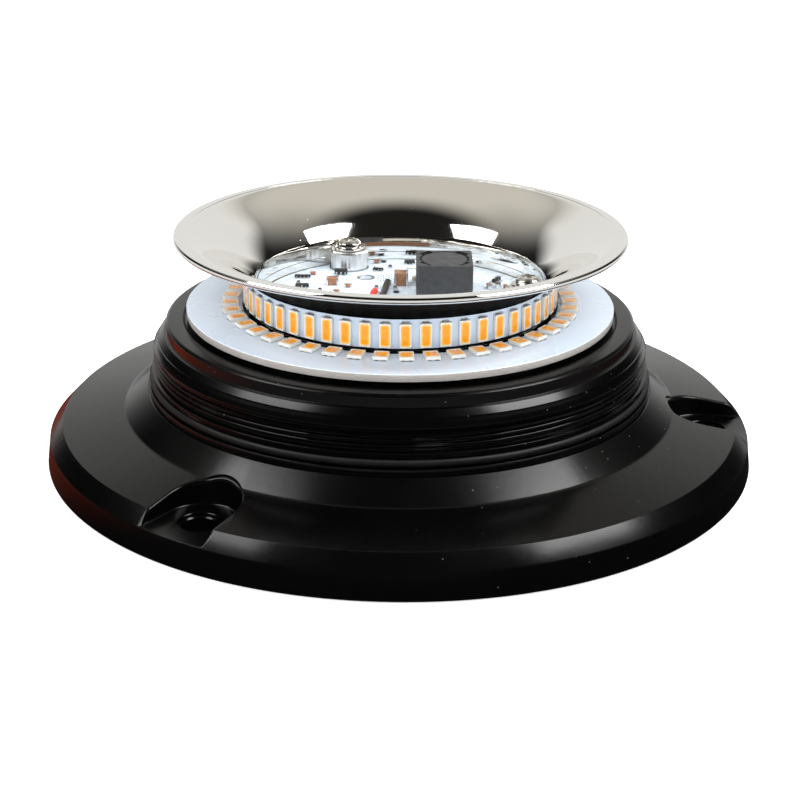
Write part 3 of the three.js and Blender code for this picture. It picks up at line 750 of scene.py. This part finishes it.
# ---------- screws and washers ----------
def thread_rod(radius, core, bottom, top, pitch=0.7, segments=24):
    """A rod with a helical thread, tapering to a blunt point at its bottom."""
    plain = 0.6
    levels = int((top - bottom) / (pitch / 6))
    loops = []
    for i in range(levels + 1):
        z = bottom + (top - bottom) * i / levels
        lead_in = min(1.0, 0.55 + (z - bottom) / 3.0)
        fade = min(1.0, max(0.0, (top - plain - z) / plain))
        points = []
        for k in range(segments):
            turn = k / segments
            phase = (z / pitch - turn) % 1.0
            wave = max(0.0, 1 - abs(phase - 0.5) / 0.32)
            reach = (core + (radius - core) * wave * fade) * lead_in
            points.append((reach * math.cos(TAU * turn), reach * math.sin(TAU * turn), z))
        loops.append(points)
    return skinned(loops)


def cross_recess():
    """A cross that narrows as it goes down."""
    loops = []
    for wide, reach, height in ((0.34, 1.0, 0.75), (0.46, 1.5, 1.2), (0.5, 1.62, 2.2)):
        points = []
        for quarter in range(4):
            turn = Matrix.Rotation(quarter * math.pi / 2, 2)
            points += [tuple(turn @ Vector(p)) for p in ((wide, wide), (wide, reach), (-wide, reach))]
        loops.append((points, height))
    return stacked(loops)


def build_screw(name, place, length, twist):
    """A pan-head screw with the underside of its head at its place. twist turns the cross."""
    head = rounded([(0, -0.02, 0), (2.75, -0.02, 0.1), (2.9, 0.3, 0.2), (2.72, 1.0, 0.4), (1.9, 1.62, 0.5),
                    (0, 1.7, 0)])
    head_place = place @ at(0, 0, 0, twist)
    thing = Body().add(turned(head, MEDIUM), 0, head_place).make(name, [steel])
    carve(thing, [tool(cross_recess(), head_place, steel)])
    shank = tool(thread_rod(1.5, 1.15, -length, 0.1), place, steel)
    return carve(thing, [shank], operation="UNION")


def build_fasteners():
    washer_low, washer_high = (corner[2] for corner in corners_of("washer_1"))
    head_under = washer_high + 0.05
    tip = corners_of("screw_1")[0][2]
    washer = rounded([(SCREW_HOLE, washer_low, 0.06), (3.6, washer_low, 0.12), (3.6, washer_high, 0.16),
                      (SCREW_HOLE, washer_high, 0.08)])
    upside_down = Matrix.Rotation(math.pi, 4, "X")
    for i, twist in enumerate((12.0, 47.0, 71.0)):
        number = i + 1
        place = on_circle(SCREW_CIRCLE, pattern_angle(i), head_under)
        piece = build_screw(f"reflector_screw_{number}", place, head_under - tip, twist)
        settle(piece, f"reflector_screw_{number}", f"screw_{number}")
        place = on_circle(COVER_SCREW_CIRCLE, cover_angle(i), 11.3) @ upside_down
        piece = build_screw(f"plate_screw_{number}", place, 10.0, twist + 20)
        settle(piece, "base", f"cover_screw_{number}")
        body = Body().add(turned(washer, MEDIUM), 0, on_circle(SCREW_CIRCLE, pattern_angle(i)))
        finished(body, f"plain_washer_{number}", [steel], "reflector_unit",
                 f"washer_{number}")


build_fasteners()


# ---------- supply cable, tie, plug and socket ----------
CONTACT_SIDE = 1.4


def build_cable():
    """A cable that drops through the grommet and lies in a coil, with two stripped cores at its end."""
    path = [(0, 0, 18), (0, 0, 14), (0, 0, 10.2), (1.2, 0, 6.9), (4.6, 0.6, 4.9)]
    for i in range(13):
        angle = math.radians(40 + i * 290 / 12)
        reach = 31 * min(1, 0.42 + 0.2 * i - 0.018 * i * i)
        path.append((reach * math.cos(angle), reach * math.sin(angle), 4.6))
    curve = curve_points(path, 1.2)
    body = Body().add(tube(curve, 2.7, 24))
    along = (curve[-1] - curve[-2]).normalized()
    across = along.cross(Vector((0, 0, 1))).normalized()
    for slot, side in ((1, -1), (2, 1)):
        start = curve[-1] - along * 1.0 + across * (1.05 * side)
        core = [start + along * (1.2 * k) for k in range(6)]
        body.add(tube(core, 0.8, 12), slot)
        body.add(tube([core[-1] + along * (0.5 * k - 0.3) for k in range(7)], 0.42, 10, 0.12), 3)
    return body


def build_tie():
    """A band round the cable with its head and the cut end of its tail."""
    band = rounded([(2.95, 15.85, 0.15), (3.5, 15.85, 0.2), (3.5, 17.35, 0.2), (2.95, 17.35, 0.15)])
    head_x = 4.9
    body = Body().add(turned(band, SMALL))
    body.add(slab(3.0, 3.4, 1.7, 0.25, 0.5), 0, at(head_x, 0, 15.8))
    body.add(slab(1.4, 1.4, 0.5, 0.12, 0.3), 0, at(head_x, 0, 17.3))
    body.add(tube([Vector((head_x, y, 16.6)) for y in (-1.0, -2.0, -2.8, -3.4)], 0.5, 8, 0.1))
    return body


def build_socket():
    """An open-topped shell with two pins in it."""
    outer = rectangle_loop(8.4, 6.4, 0.6)
    rim = rectangle_loop(8.1, 6.1, 0.5)
    mouth = rectangle_loop(7.1, 5.1, 0.4)
    inner = rectangle_loop(6.8, 4.8, 0.35)
    body = Body().add(stacked([(rim, 18.2), (outer, 18.5), (outer, 23.9), (rim, 24.2), (mouth, 24.2),
                               (inner, 23.9), (inner, 19.8)]))
    for side in (-1, 1):
        body.add(slab(0.64, 0.64, 2.2, 0.1), 1, at(CONTACT_SIDE * side, 0, 19.6))
    return body


def build_plug():
    """A block with a latch on one side and a collar round each wire."""
    body = Body().add(slab(6.2, 4.2, 8.0, 0.3, 0.5), 0, at(0, 0, 20.2))
    body.add(slab(2.6, 0.5, 3.2, 0.12, 0.2), 0, at(0, 2.15, 24.4))
    collar = rounded([(0.82, 28.0, 0), (1.15, 28.0, 0), (1.15, 28.32, 0.1), (0.82, 28.32, 0.1)])
    for side in (-1, 1):
        body.add(turned(collar, 20), 0, at(CONTACT_SIDE * side, 0, 0))
    return body


finished(build_cable(), "cable", [rubber_black, red_wire, black_wire, solder], "base",
         "supply_cable")
finished(build_tie(), "strap", [nylon], "base", "cable_tie")
finished(build_socket(), "socket_shell", [nylon, gold_pad], "base", "lead_socket")
finished(build_plug(), "plug_shell", [nylon], "reflector_unit", "lead_plug")


# ---------- LED ring board ----------
def board_slot(radius, height):
    """Slots: 0 masked top, 1 bare metal."""
    return 0 if height > 34.02 else 1


def build_led_board():
    corners = [(35.4, 32.5, 0.08), (47.85, 32.5, 0.12), (47.85, 34.02, 0), (47.78, 34.1, 0),
               (35.47, 34.1, 0), (35.4, 34.02, 0)]
    return Body().add(turned(rounded(corners, 2), FINE, None, board_slot))


def emitter(wide, long, high, window_wide, window_long, shift, notch):
    """A surface-mount emitter on z = 0. Slots: 0 body, 1 phosphor, 2 tinned ends, 3 the window's rim."""
    shell = long - notch
    outer = rectangle_loop(wide, shell, 0.14, 2)
    upper = rectangle_loop(wide - 0.12, shell - 0.12, 0.12, 2)

    def window(grow, corner):
        loop = rectangle_loop(window_wide + grow, window_long + grow, corner, 2)
        return [(x, y + shift) for x, y in loop]

    rim, well, inner = window(0.14, 0.42), window(0.0, 0.36), window(-0.55, 0.3)
    body = Body().add(stacked([(outer, 0.06), (outer, high - 0.07), (upper, high), (rim, high),
                               (well, high - 0.05), (inner, high - 0.02)], [0, 0, 0, 0, 3, 1]))
    tab = slab(wide * 0.26, 0.24, 0.16, 0.03)
    for end in (-1, 1):
        for side in (-1, 1):
            body.add(tab, 2, at(side * wide * 0.25, end * (long / 2 - 0.15), 0))
    return body.shape()


def build_flat_emitters():
    """The emitters that lie on the ring board, and the solder pads under their ends."""
    count, radius, phase = 46, 38.12, 2.1
    base = corners_of("flat_led_ring")[0][2]
    flat = emitter(3.15, 4.0, 0.8, 2.6, 3.0, 0.1, 0.16)
    pad = slab(2.5, 0.8, 0.05, 0.02)
    flats, pads = Body(), Body()
    for i in range(count):
        place = on_circle(radius, phase - 90 + i * 360 / count, base) @ quarter_turn("Z")
        flats.add(flat, 0, place)
        for end in (-1, 1):
            pads.add(pad, 0, place @ Matrix.Translation((0, end * 1.75, -0.05)))
    return flats, pads


def build_wall_emitters():
    """The emitters that stand round the reflector's neck, and the film strip that carries them."""
    count, radius, phase, middle = 52, 34.45, 1.95, 37.8
    low, high = (corner[2] for corner in corners_of("vertical_led_strip"))
    film = rounded([(34.25, low, 0.03), (radius, low, 0.03), (radius, high, 0.03), (34.25, high, 0.03)], 2)
    wall = emitter(2.5, 5.4, 0.75, 1.95, 4.6, 0.0, 0.1)
    pad = slab(1.5, 0.4, 0.05, 0.02)
    walls, strip = Body(), Body().add(turned(film, FINE))
    for i in range(count):
        place = on_circle(radius, phase - 90 + i * 360 / count, middle)
        place = place @ quarter_turn("Y") @ quarter_turn("Z")
        walls.add(wall, 0, place)
        for end in (-1, 1):
            strip.add(pad, 1, place @ Matrix.Translation((0, end * 2.85, -0.02)))
    return walls, strip


emitter_skins = [emitter_body, phosphor, solder, phosphor_rim]
finished(build_led_board(), "led_board", [board_white, sheared_metal], "base",
         "led_ring_board")
flats, pads = build_flat_emitters()
finished(flats, "flat_emitters", emitter_skins, "base", "flat_led_ring")
finished(pads, "flat_emitter_pads", [solder], "base")
walls, strip = build_wall_emitters()
finished(walls, "wall_emitters", emitter_skins, "reflector_unit", "vertical_led_strip")
finished(strip, "emitter_strip", [strip_white, solder], "reflector_unit")


# ---------- reflector ----------
FLARE = (Vector((32.6, 40.1)), Vector((34.05, 42.2)), Vector((38.75, 47.8)), Vector((47.7, 50.85)))
FLARE_STEPS = 40


def flare_point(t):
    """Point and direction on the mirror's flare, from its neck at t = 0 to its lip at t = 1."""
    a, b, c, d = FLARE
    point = a * (1 - t) ** 3 + b * (3 * t * (1 - t) ** 2) + c * (3 * t * t * (1 - t)) + d * t**3
    slope = (b - a) * (3 * (1 - t) ** 2) + (c - b) * (6 * t * (1 - t)) + (d - c) * (3 * t * t)
    return point, slope.normalized()


def reflector_outline():
    """Outside from the floor ring up, then the lip, then the mirror down to the floor ring."""
    outline = [(24.0, 31.2), (34.05, 31.2), (34.05, 33.9), (33.95, 34.0), (33.95, 34.3), (34.05, 34.4),
               (34.05, 41.25)]
    for k in range(FLARE_STEPS):
        point, slope = flare_point(k / FLARE_STEPS)
        skin = 0.55 + 0.4 * k / FLARE_STEPS
        under = (point.x + slope.y * skin, point.y - slope.x * skin)
        if under[1] > 41.6:
            outline.append(under)
    outline += rounded([(48.0, 49.75, 0.2), (48.3, 49.4, 0.2), (49.8, 49.4, 0.2), (50.25, 49.85, 0.25),
                        (50.25, 50.5, 0.25), (49.9, 50.85, 0.2), (48.0, 50.85, 0.1), (47.9, 50.78, 0.05)],
                       3)
    for k in range(FLARE_STEPS, -1, -1):
        point = flare_point(k / FLARE_STEPS)[0]
        outline.append((point.x, point.y - (0.06 if k == FLARE_STEPS else 0)))
    outline += [(32.55, 40.02), (32.5, 39.9), (32.5, 36.35), (32.6, 36.25), (32.6, 36.0), (32.5, 35.9),
                (32.5, 32.5), (32.3, 32.3), (24.0, 32.3)]
    return outline


def reflector_slot(radius, height):
    """Slots: 0 mirror, 1 unplated outside, which lies below the middle of the skin."""
    if radius <= 34.0 or height >= 49.5:
        return 0
    nearest = min((flare_point(k / 60)[0] for k in range(61)), key=lambda p: abs(p.x - radius))
    return 1 if height < nearest.y - 0.25 else 0


def fluted(radius, height, angle):
    """Fine flutes round a screw boss."""
    if radius <= 4.0 or not 34.6 < height < 38.2:
        return radius
    return radius - 0.16 * (0.5 + 0.5 * math.cos(21 * angle))


def build_reflector():
    body = Body().add(turned(reflector_outline(), FINE, None, reflector_slot))
    thing = body.make("trumpet_mirror", [chrome, gloss_black])
    outline = [(0, 31.2, 0), (4.35, 31.2, 0), (4.35, 34.4, 0.1), (4.45, 34.7, 0.1), (4.45, 38.1, 0.2),
               (4.15, 38.6, 0.25), (3.8, 38.6, 0.05), (3.75, 38.5, 0.05), (0, 38.5, 0)]
    boss = turned(rounded(outline), 84, fluted)
    places = [on_circle(SCREW_CIRCLE, pattern_angle(i)) for i in range(PATTERN_COUNT)]
    joins = [tool(boss, place, satin_plating) for place in places]
    carve(thing, joins, operation="UNION", keep_materials=True)
    return carve(thing, [hole_cutter(SCREW_HOLE, 30.0, 38.5, place, 0.2, SMALL) for place in places])


settle(build_reflector(), "reflector_unit", "reflector")


# ---------- driver board ----------
def driver_slot(radius, height):
    """Slots: 0 masked faces, 1 laminate edge."""
    return 0 if height > 34.03 or height < 32.57 else 1


def build_driver_board():
    outline = [(0, 32.5), (32.1, 32.5), (32.2, 32.58), (32.2, 34.02), (32.1, 34.1), (0, 34.1)]
    body = Body().add(turned(outline, FINE, None, driver_slot))
    thing = body.make("control_board", [driver_white, laminate])
    low, high = 31.0, 36.0
    cutters = [hole_cutter(4.75, low, high, on_circle(SCREW_CIRCLE, pattern_angle(i)))
               for i in range(PATTERN_COUNT)]
    cutters.append(hole_cutter(2.8, low, high, at(*WIRE_HOLE, 0), 0.0, SMALL))
    cutters.append(hole_cutter(1.3, low, high, at(*BOARD_HOLE, 0), 0.0, SMALL))
    return carve(thing, cutters)


def build_inductor():
    """A square ferrite shield with a round well and notched corners, and the core that stands in it."""
    side, high = 12.8, 8.0
    skins = [ferrite, well_dark]
    foot = at(*INDUCTOR, BOARD_BASE)
    block = Body().add(slab(side, side, high, 0.3, 0.9), 0, foot).make("choke_shield", skins)
    cutters = [hole_cutter(5.6, BOARD_BASE + 1.0, BOARD_BASE + high, at(*INDUCTOR, 0), 0.12)]
    notch = slab(1.3, 3.4, 2.0, 0.05, 0.3)
    for k in range(4):
        place = at(*INDUCTOR, BOARD_BASE + high - 1.1) @ on_circle(5.9, 45 + 90 * k)
        cutters.append(tool(notch, place, well_dark))
    settle(carve(block, cutters), "reflector_unit", "inductor_shield")
    disc = rounded([(0, 1.1, 0), (5.1, 1.1, 0.1), (5.1, 1.9, 0.1), (4.4, 2.0, 0.1), (4.4, 6.3, 0.1),
                    (5.3, 6.4, 0.1), (5.3, 7.7, 0.2), (5.1, 7.9, 0.15), (1.0, 7.9, 0.1), (0.9, 7.8, 0.05),
                    (0, 7.8, 0)])
    finished(Body().add(turned(disc, MEDIUM), 0, foot), "choke_core", [ferrite], "reflector_unit",
             "inductor_core")


def capacitor(wide, deep, high, cap=0.45):
    """Ceramic block with tinned end caps that wrap round it. Slots: 0 ceramic, 1 tin."""
    body = Body().add(slab(wide - 0.1, deep - 2 * cap + 0.1, high - 0.08, 0.08), 0, at(0, 0, 0.04))
    for end in (-1, 1):
        body.add(slab(wide, cap, high, 0.12, 0.16), 1, at(0, end * (deep - cap) / 2, 0))
    return body.shape()


def gull_chip(wide, deep, high, pins, pitch):
    """Moulded package with gull-wing leads on two sides. Slots: 0 moulding, 1 tin."""
    shell = deep - 1.5
    loops = []
    for inset, corner, height in ((0.2, 0.1, 0.12), (0, 0.12, high * 0.5), (0.25, 0.1, high - 0.05),
                                  (0.35, 0.08, high)):
        loops.append((rectangle_loop(wide - inset, shell - inset, corner), height))
    body = Body().add(stacked(loops))
    dot = turned([(0, high - 0.02), (0.28, high - 0.02), (0.28, high + 0.012), (0, high + 0.012)], 16)
    body.add(dot, 1, at(-wide / 2 + 0.6, -shell / 2 + 0.6, 0))
    profile = ((shell / 2 - 0.05, high * 0.5), (shell / 2 + 0.2, high * 0.5), (shell / 2 + 0.32, 0.16),
               (deep / 2 - 0.02, 0.1))
    for side in (-1, 1):
        for k in range(pins):
            x = (k - (pins - 1) / 2) * pitch
            body.add(tube([Vector((x, side * y, z)) for y, z in profile], 0.14, 6), 1)
    return body.shape()


def power_package(wide, deep, high):
    """Moulded package on a tinned tab with three leads. Slots: 0 moulding, 1 tin."""
    body = Body().add(slab(wide, deep * 0.78, high, 0.18, 0.25), 0, at(0, -deep * 0.02, 0.12))
    body.add(slab(wide * 0.82, deep * 0.22, 0.5, 0.06), 1, at(0, deep * 0.39, 0))
    profile = ((-deep * 0.38, high * 0.45), (-deep * 0.42, high * 0.42), (-deep * 0.45, 0.2),
               (-deep * 0.5 + 0.02, 0.14))
    for k in (-1, 0, 1):
        body.add(tube([Vector((k * wide * 0.34, y, z)) for y, z in profile], 0.2, 6), 1)
    return body.shape()


# Each part's piece name, the CAD node that says where it goes, its shape, its skin and its turn.
PARTS = (
    ("filter_capacitor", "input_capacitor", capacitor(1.9, 2.8, 1.7), ceramic, 90),
    ("bulk_capacitor", "output_capacitor", capacitor(3.2, 3.2, 3.1, 0.5), ceramic, 90),
    ("regulator_chip", "controller_chip", gull_chip(3.8, 2.2, 0.8, 4, 0.9), chip_black, 0),
    ("power_transistor", "switch_transistor", power_package(6.6, 6.1, 2.15), chip_black, 0),
    ("block_diode", "rectifier_diode", power_package(3.0, 2.0, 1.17), chip_black, 0),
    ("flash_chip", "timer_chip", gull_chip(4.9, 3.9, 1.6, 4, 1.1), chip_black, 0),
)
settle(build_driver_board(), "reflector_unit", "driver_board")
build_inductor()
for name, node, shape, skin, turn in PARTS:
    body = Body().add(shape, 0, at(*middle_of(node), BOARD_BASE, turn))
    finished(body, name, [skin, solder], "reflector_unit", node)


# ---------- small parts that fill the driver board ----------
def small_ring(inner, outer, high, segments):
    corners = [(inner, 0, 0), (outer, 0, 0), (outer, high, 0.02), (inner, high, 0.02)]
    return turned(rounded(corners, 2), segments)


def placed_parts():
    """Parts with places of their own: shape, x, y, turn and slot. Slot 2 starts the ceramic pair."""
    small = capacitor(1.3, 2.0, 0.9, 0.4)
    tall = capacitor(1.3, 2.0, 1.0, 0.4)
    long = capacitor(1.4, 2.6, 1.1, 0.4)
    return (
        (gull_chip(2.6, 2.2, 0.7, 3, 0.8), -5.3, 22.6, 0, 0),
        (gull_chip(2.6, 2.4, 0.9, 3, 0.85), 2.2, 28.4, 0, 0),
        (gull_chip(3.2, 2.4, 0.9, 3, 0.9), -22.6, 9.2, 0, 0),
        (gull_chip(2.9, 2.6, 1.0, 3, 0.9), 22.4, 14.6, 60, 0),
        (tall, 20.6, 9.6, 10, 2),
        (tall, 22.6, 10.4, 0, 0),
        (capacitor(1.0, 1.8, 0.9, 0.35), 24.4, 9.4, 20, 2),
        (long, -15.6, 14.2, 90, 0),
        (long, 4.4, 17.6, 0, 2),
        (small, 3.4, 14.4, 0, 2),
        (small, 7.0, 26.5, 90, 0),
        (small, 11.0, 25.4, 90, 0),
        (small, 12.4, 21.5, 0, 0),
    )


def build_small_parts():
    """Slots: 0 chip moulding, 1 tin, 2 ceramic, 3 tin, 4 dark resist, 5 gold pad."""
    draw = random.Random(14)
    body = Body()
    # Places that are taken already, as (x, y, room).
    taken = [(*INDUCTOR, 9.6), (*WIRE_HOLE, 3.6), (*BOARD_HOLE, 3.0), (-5.8, 6.4, 2.0), (-2.8, 11.6, 2.0),
             (-3.6, 5.0, 2.6), (-3.3, 16.6, 2.9)]
    taken += [(*middle_of(node), 3.2) for _, node, _, _, _ in PARTS]
    for i in range(PATTERN_COUNT):
        spot = on_circle(SCREW_CIRCLE, pattern_angle(i)).translation
        taken.append((spot.x, spot.y, 6.4))
    for shape, x, y, turn, slot in placed_parts():
        body.add(shape, slot, at(x, y, BOARD_BASE, turn))
        taken.append((x, y, 2.4))
    resistor = capacitor(0.85, 1.6, 0.5, 0.3)
    chipcap = capacitor(0.9, 1.7, 0.85, 0.35)
    pad = slab(1.0, 1.3, 0.06, 0.025, 0.25)
    dot = turned(rounded([(0, 0, 0), (0.2, 0, 0), (0.2, 0.03, 0.01), (0, 0.03, 0)], 2), 10)
    via = small_ring(0.16, 0.34, 0.05, 12)
    for row in range(4):
        for k in range(7):
            body.add(dot, 0, at(-5.2 + 0.62 * k, 14.4 + 1.5 * row + 0.3 * (k % 2), DRIVER_TOP + 0.01))
    tries, placed = 0, 0
    while placed < 96 and tries < 6000:
        tries += 1
        reach = 30.2 * math.sqrt(draw.random())
        angle = TAU * draw.random()
        x, y = reach * math.cos(angle), reach * math.sin(angle)
        kind = draw.random()
        turn = draw.choice((0, 90))
        if any(math.hypot(x - tx, y - ty) < room for tx, ty, room in taken):
            continue
        place = at(x, y, BOARD_BASE, turn)
        if kind < 0.4:
            body.add(resistor, 0, place)
        elif kind < 0.62:
            body.add(chipcap, 2, place)
        else:
            shape, slot, steps = (pad, 1, (-1, 1)) if kind < 0.8 else (via, 5, (-1, 0, 1))
            for side in steps:
                body.add(shape, slot, place @ Matrix.Translation((side * 0.9, 0, -0.04)))
        taken.append((x, y, 1.75))
        placed += 1
    body.add(small_ring(1.35, 2.1, 0.06, SMALL), 1, at(*BOARD_HOLE, DRIVER_TOP + 0.01))
    return body


finished(build_small_parts(), "small_board_parts",
         [chip_black, solder, ceramic, solder, chip_black, gold_pad], "reflector_unit")


# ---------- leads ----------
def build_lead(side, end_x, end_y, skin, name, node):
    """An insulated wire from the plug up through the board's hole to a soldered end."""
    foot, hole_x, hole_y = side * CONTACT_SIDE, WIRE_HOLE[0] + side * 1.1, WIRE_HOLE[1] - side * 0.6
    path = [(foot, 0, 28.5), (foot, 0, 29.4), ((foot + hole_x) / 2, hole_y, 30.75), (hole_x, hole_y, 32.3),
            (hole_x, hole_y + 0.2, 34.4), ((hole_x + end_x) / 2, (hole_y + end_y) / 2, 35.1),
            (end_x, end_y, 34.98)]
    curve = curve_points(path, 0.25)
    body = Body().add(tube(curve, 0.75, 16))
    tip = curve[-1]
    along = (tip - curve[-2]).normalized()
    flat_way = Vector((along.x, along.y, 0)).normalized()
    core = [tip - along * 0.3, tip + along * 0.2, tip + flat_way * 0.7 + Vector((0, 0, -0.5)),
            tip + flat_way * 1.3 + Vector((0, 0, -0.6))]
    body.add(tube(curve_points(core, 0.2), 0.3, 10, 0.1), 1)
    blob = rounded([(0, 0, 0), (0.95, 0, 0.1), (0.75, 0.24, 0.3), (0.36, 0.52, 0.2), (0, 0.58, 0)])
    spot = tip + flat_way * 1.15
    body.add(turned(blob, 20), 1, at(spot.x, spot.y, DRIVER_TOP + 0.02))
    finished(body, name, [skin, solder], "reflector_unit", node)


build_lead(-1, -5.8, 4.3, red_wire, "red_wire", "red_lead")
build_lead(1, -2.9, 11.2, black_wire, "black_wire", "black_lead")


# ---------- studio ----------
def build_floor():
    """A pale disc, clear from below. In reflections it shows painted shade near the object and painted red
    reflections at two sides.
    """
    count, reach, level = 96, 6000.0, -0.3
    turns = [TAU * k / count for k in range(count)]
    edge = [(reach * math.cos(a), reach * math.sin(a), level) for a in turns]
    s = Surface("pale_floor", {"Roughness": 0.8, "Emission Color": (1, 1, 1), "Emission Strength": 0.55})
    s.colour(s.noise(0.002, 2.0), (0.93, 0.93, 0.93), (0.90, 0.90, 0.90))
    flat = s.from_axis()
    # Glossy rays see a painted emission in place of the lit floor: painted shade near the object, pale
    # further out.
    white = s.span(flat, 140, 200, 0.015, 0.85, smooth=True)
    painted_shade_grey = s.node("CombineColor", {0: white, 1: white, 2: white}).outputs["Color"]
    # Painted red reflections: bright red at the left, dark red at the right.
    beside = s.times(s.span(s.calc("ABSOLUTE", s.axis("Y")), 90, 45), s.span(flat, 170, 130))
    left = s.times(beside, s.span(s.axis("X"), -60, -130, smooth=True))
    right = s.times(beside, s.span(s.axis("X"), 85, 130, smooth=True))
    tint = s.mix(right, s.mix(left, painted_shade_grey, (0.75, 0.09, 0.03)), (0.08, 0.02, 0.025))
    mirrored = s.node("Emission", {"Color": tint}).outputs[0]
    glossy = s.node("LightPath").outputs["Is Glossy Ray"]
    above = s.choose(glossy, s.shader.outputs[0], mirrored)
    clear = s.node("BsdfTransparent").outputs[0]
    whole = s.choose(s.node("NewGeometry").outputs["Backfacing"], above, clear)
    s.fill(s.tree.nodes["Material Output"], {"Surface": whole})
    Body().add((edge, [list(range(count))], [0])).make("floor", [s.material])


def direction(azimuth, elevation):
    """Unit vector; azimuth 0 is behind the object (+Y) and 90 is to its right (+X), in degrees."""
    a, e = math.radians(azimuth), math.radians(elevation)
    return Vector((math.sin(a) * math.cos(e), math.cos(a) * math.cos(e), math.sin(e)))


def add_softbox(name, azimuth, elevation, wide, tall, power, distance, lean=None):
    """A rectangular area light aimed at the object. lean gives the way its long side runs."""
    light = bpy.data.lights.new(name, "AREA")
    light.shape = "RECTANGLE"
    light.size, light.size_y = wide, tall
    light.energy = power
    thing = bpy.data.objects.new(name, light)
    aim = direction(azimuth, elevation)
    along = Vector(lean) if lean else Vector((0, 0, 1)).cross(aim)
    along = (along - aim * along.dot(aim)).normalized()
    thing.location = Vector((0, 0, 0.035)) + aim * distance
    thing.rotation_euler = Matrix((along, aim.cross(along), aim)).transposed().to_euler()
    bpy.context.scene.collection.objects.link(thing)
    return thing


def build_lights():
    """Two leaning softboxes that the object mirrors, and four broad fills that it doesn't."""
    add_softbox("softbox_left", -99, 51, 0.52, 0.36, 6.0, 1.1, (0.58, -0.75, 0.32))
    add_softbox("softbox_right", 99, 51, 0.52, 0.36, 10.0, 1.1, (-0.58, -0.75, 0.32))
    for name, azimuth, elevation, power in (("overhead_panel", 0, 78, 4), ("fill_front", 180, 38, 12),
                                            ("fill_left", -122, 24, 8), ("fill_right", 122, 24, 6)):
        fill = add_softbox(name, azimuth, elevation, 1.3, 0.8, power, 1.3)
        fill.visible_glossy = False


def build_world():
    """White sweep behind, a soft overhead panel that fades towards the camera, and dark sides."""
    world = bpy.data.worlds.new("studio")
    bpy.context.scene.world = world
    world.use_nodes = True
    g = Graph(world.node_tree)
    x, y, z = g.node("SeparateXYZ", {0: g.node("TexCoord").outputs["Generated"]}).outputs

    def fade(value, low, high):
        return g.span(value, low, high, smooth=True)

    side = g.calc("ABSOLUTE", x)
    panel = g.times(fade(y, -0.13, 0.26), fade(z, 0.36, 0.75), fade(side, 0.95, 0.25), 0.61)
    sweep = g.times(fade(y, 0.35, 0.75), fade(z, 0.80, 0.50), fade(side, 0.68, 0.42),
                    fade(z, -0.12, 0.0), 0.8)
    room = g.calc("ADD", g.times(fade(z, -0.1, 0.3), -0.01), 0.024)
    level = g.calc("ADD", g.calc("MAXIMUM", panel, sweep), room)
    tint = g.mix(fade(z, 0.45, 0.75), (1.0, 1.0, 0.98), (1.0, 0.955, 0.86))
    lit = g.node("Background", {"Color": tint, "Strength": level}).outputs[0]
    seen = g.node("Background", {"Color": (1, 1, 1), "Strength": 1.0}).outputs[0]
    camera_ray = g.node("LightPath").outputs["Is Camera Ray"]
    g.fill(g.tree.nodes["World Output"], {"Surface": g.choose(camera_ray, lit, seen)})


def build_camera():
    lens = bpy.data.cameras.new("camera")
    lens.sensor_width = 36
    lens.lens = 78.23
    lens.shift_x, lens.shift_y = 0.0005, -0.0447
    lens.clip_start, lens.clip_end = 0.01, 20
    camera = bpy.data.objects.new("camera", lens)
    camera.location = (0.0, -0.3727, 0.1559)
    tilt, roll = math.radians(90 - 20.2), 0.0085
    camera.rotation_euler = (Matrix.Rotation(tilt, 3, "X") @ Matrix.Rotation(roll, 3, "Z")).to_euler()
    bpy.context.scene.collection.objects.link(camera)
    bpy.context.scene.camera = camera


build_floor()
build_lights()
build_world()
build_camera()
bpy.context.scene.view_settings.view_transform = "Standard"
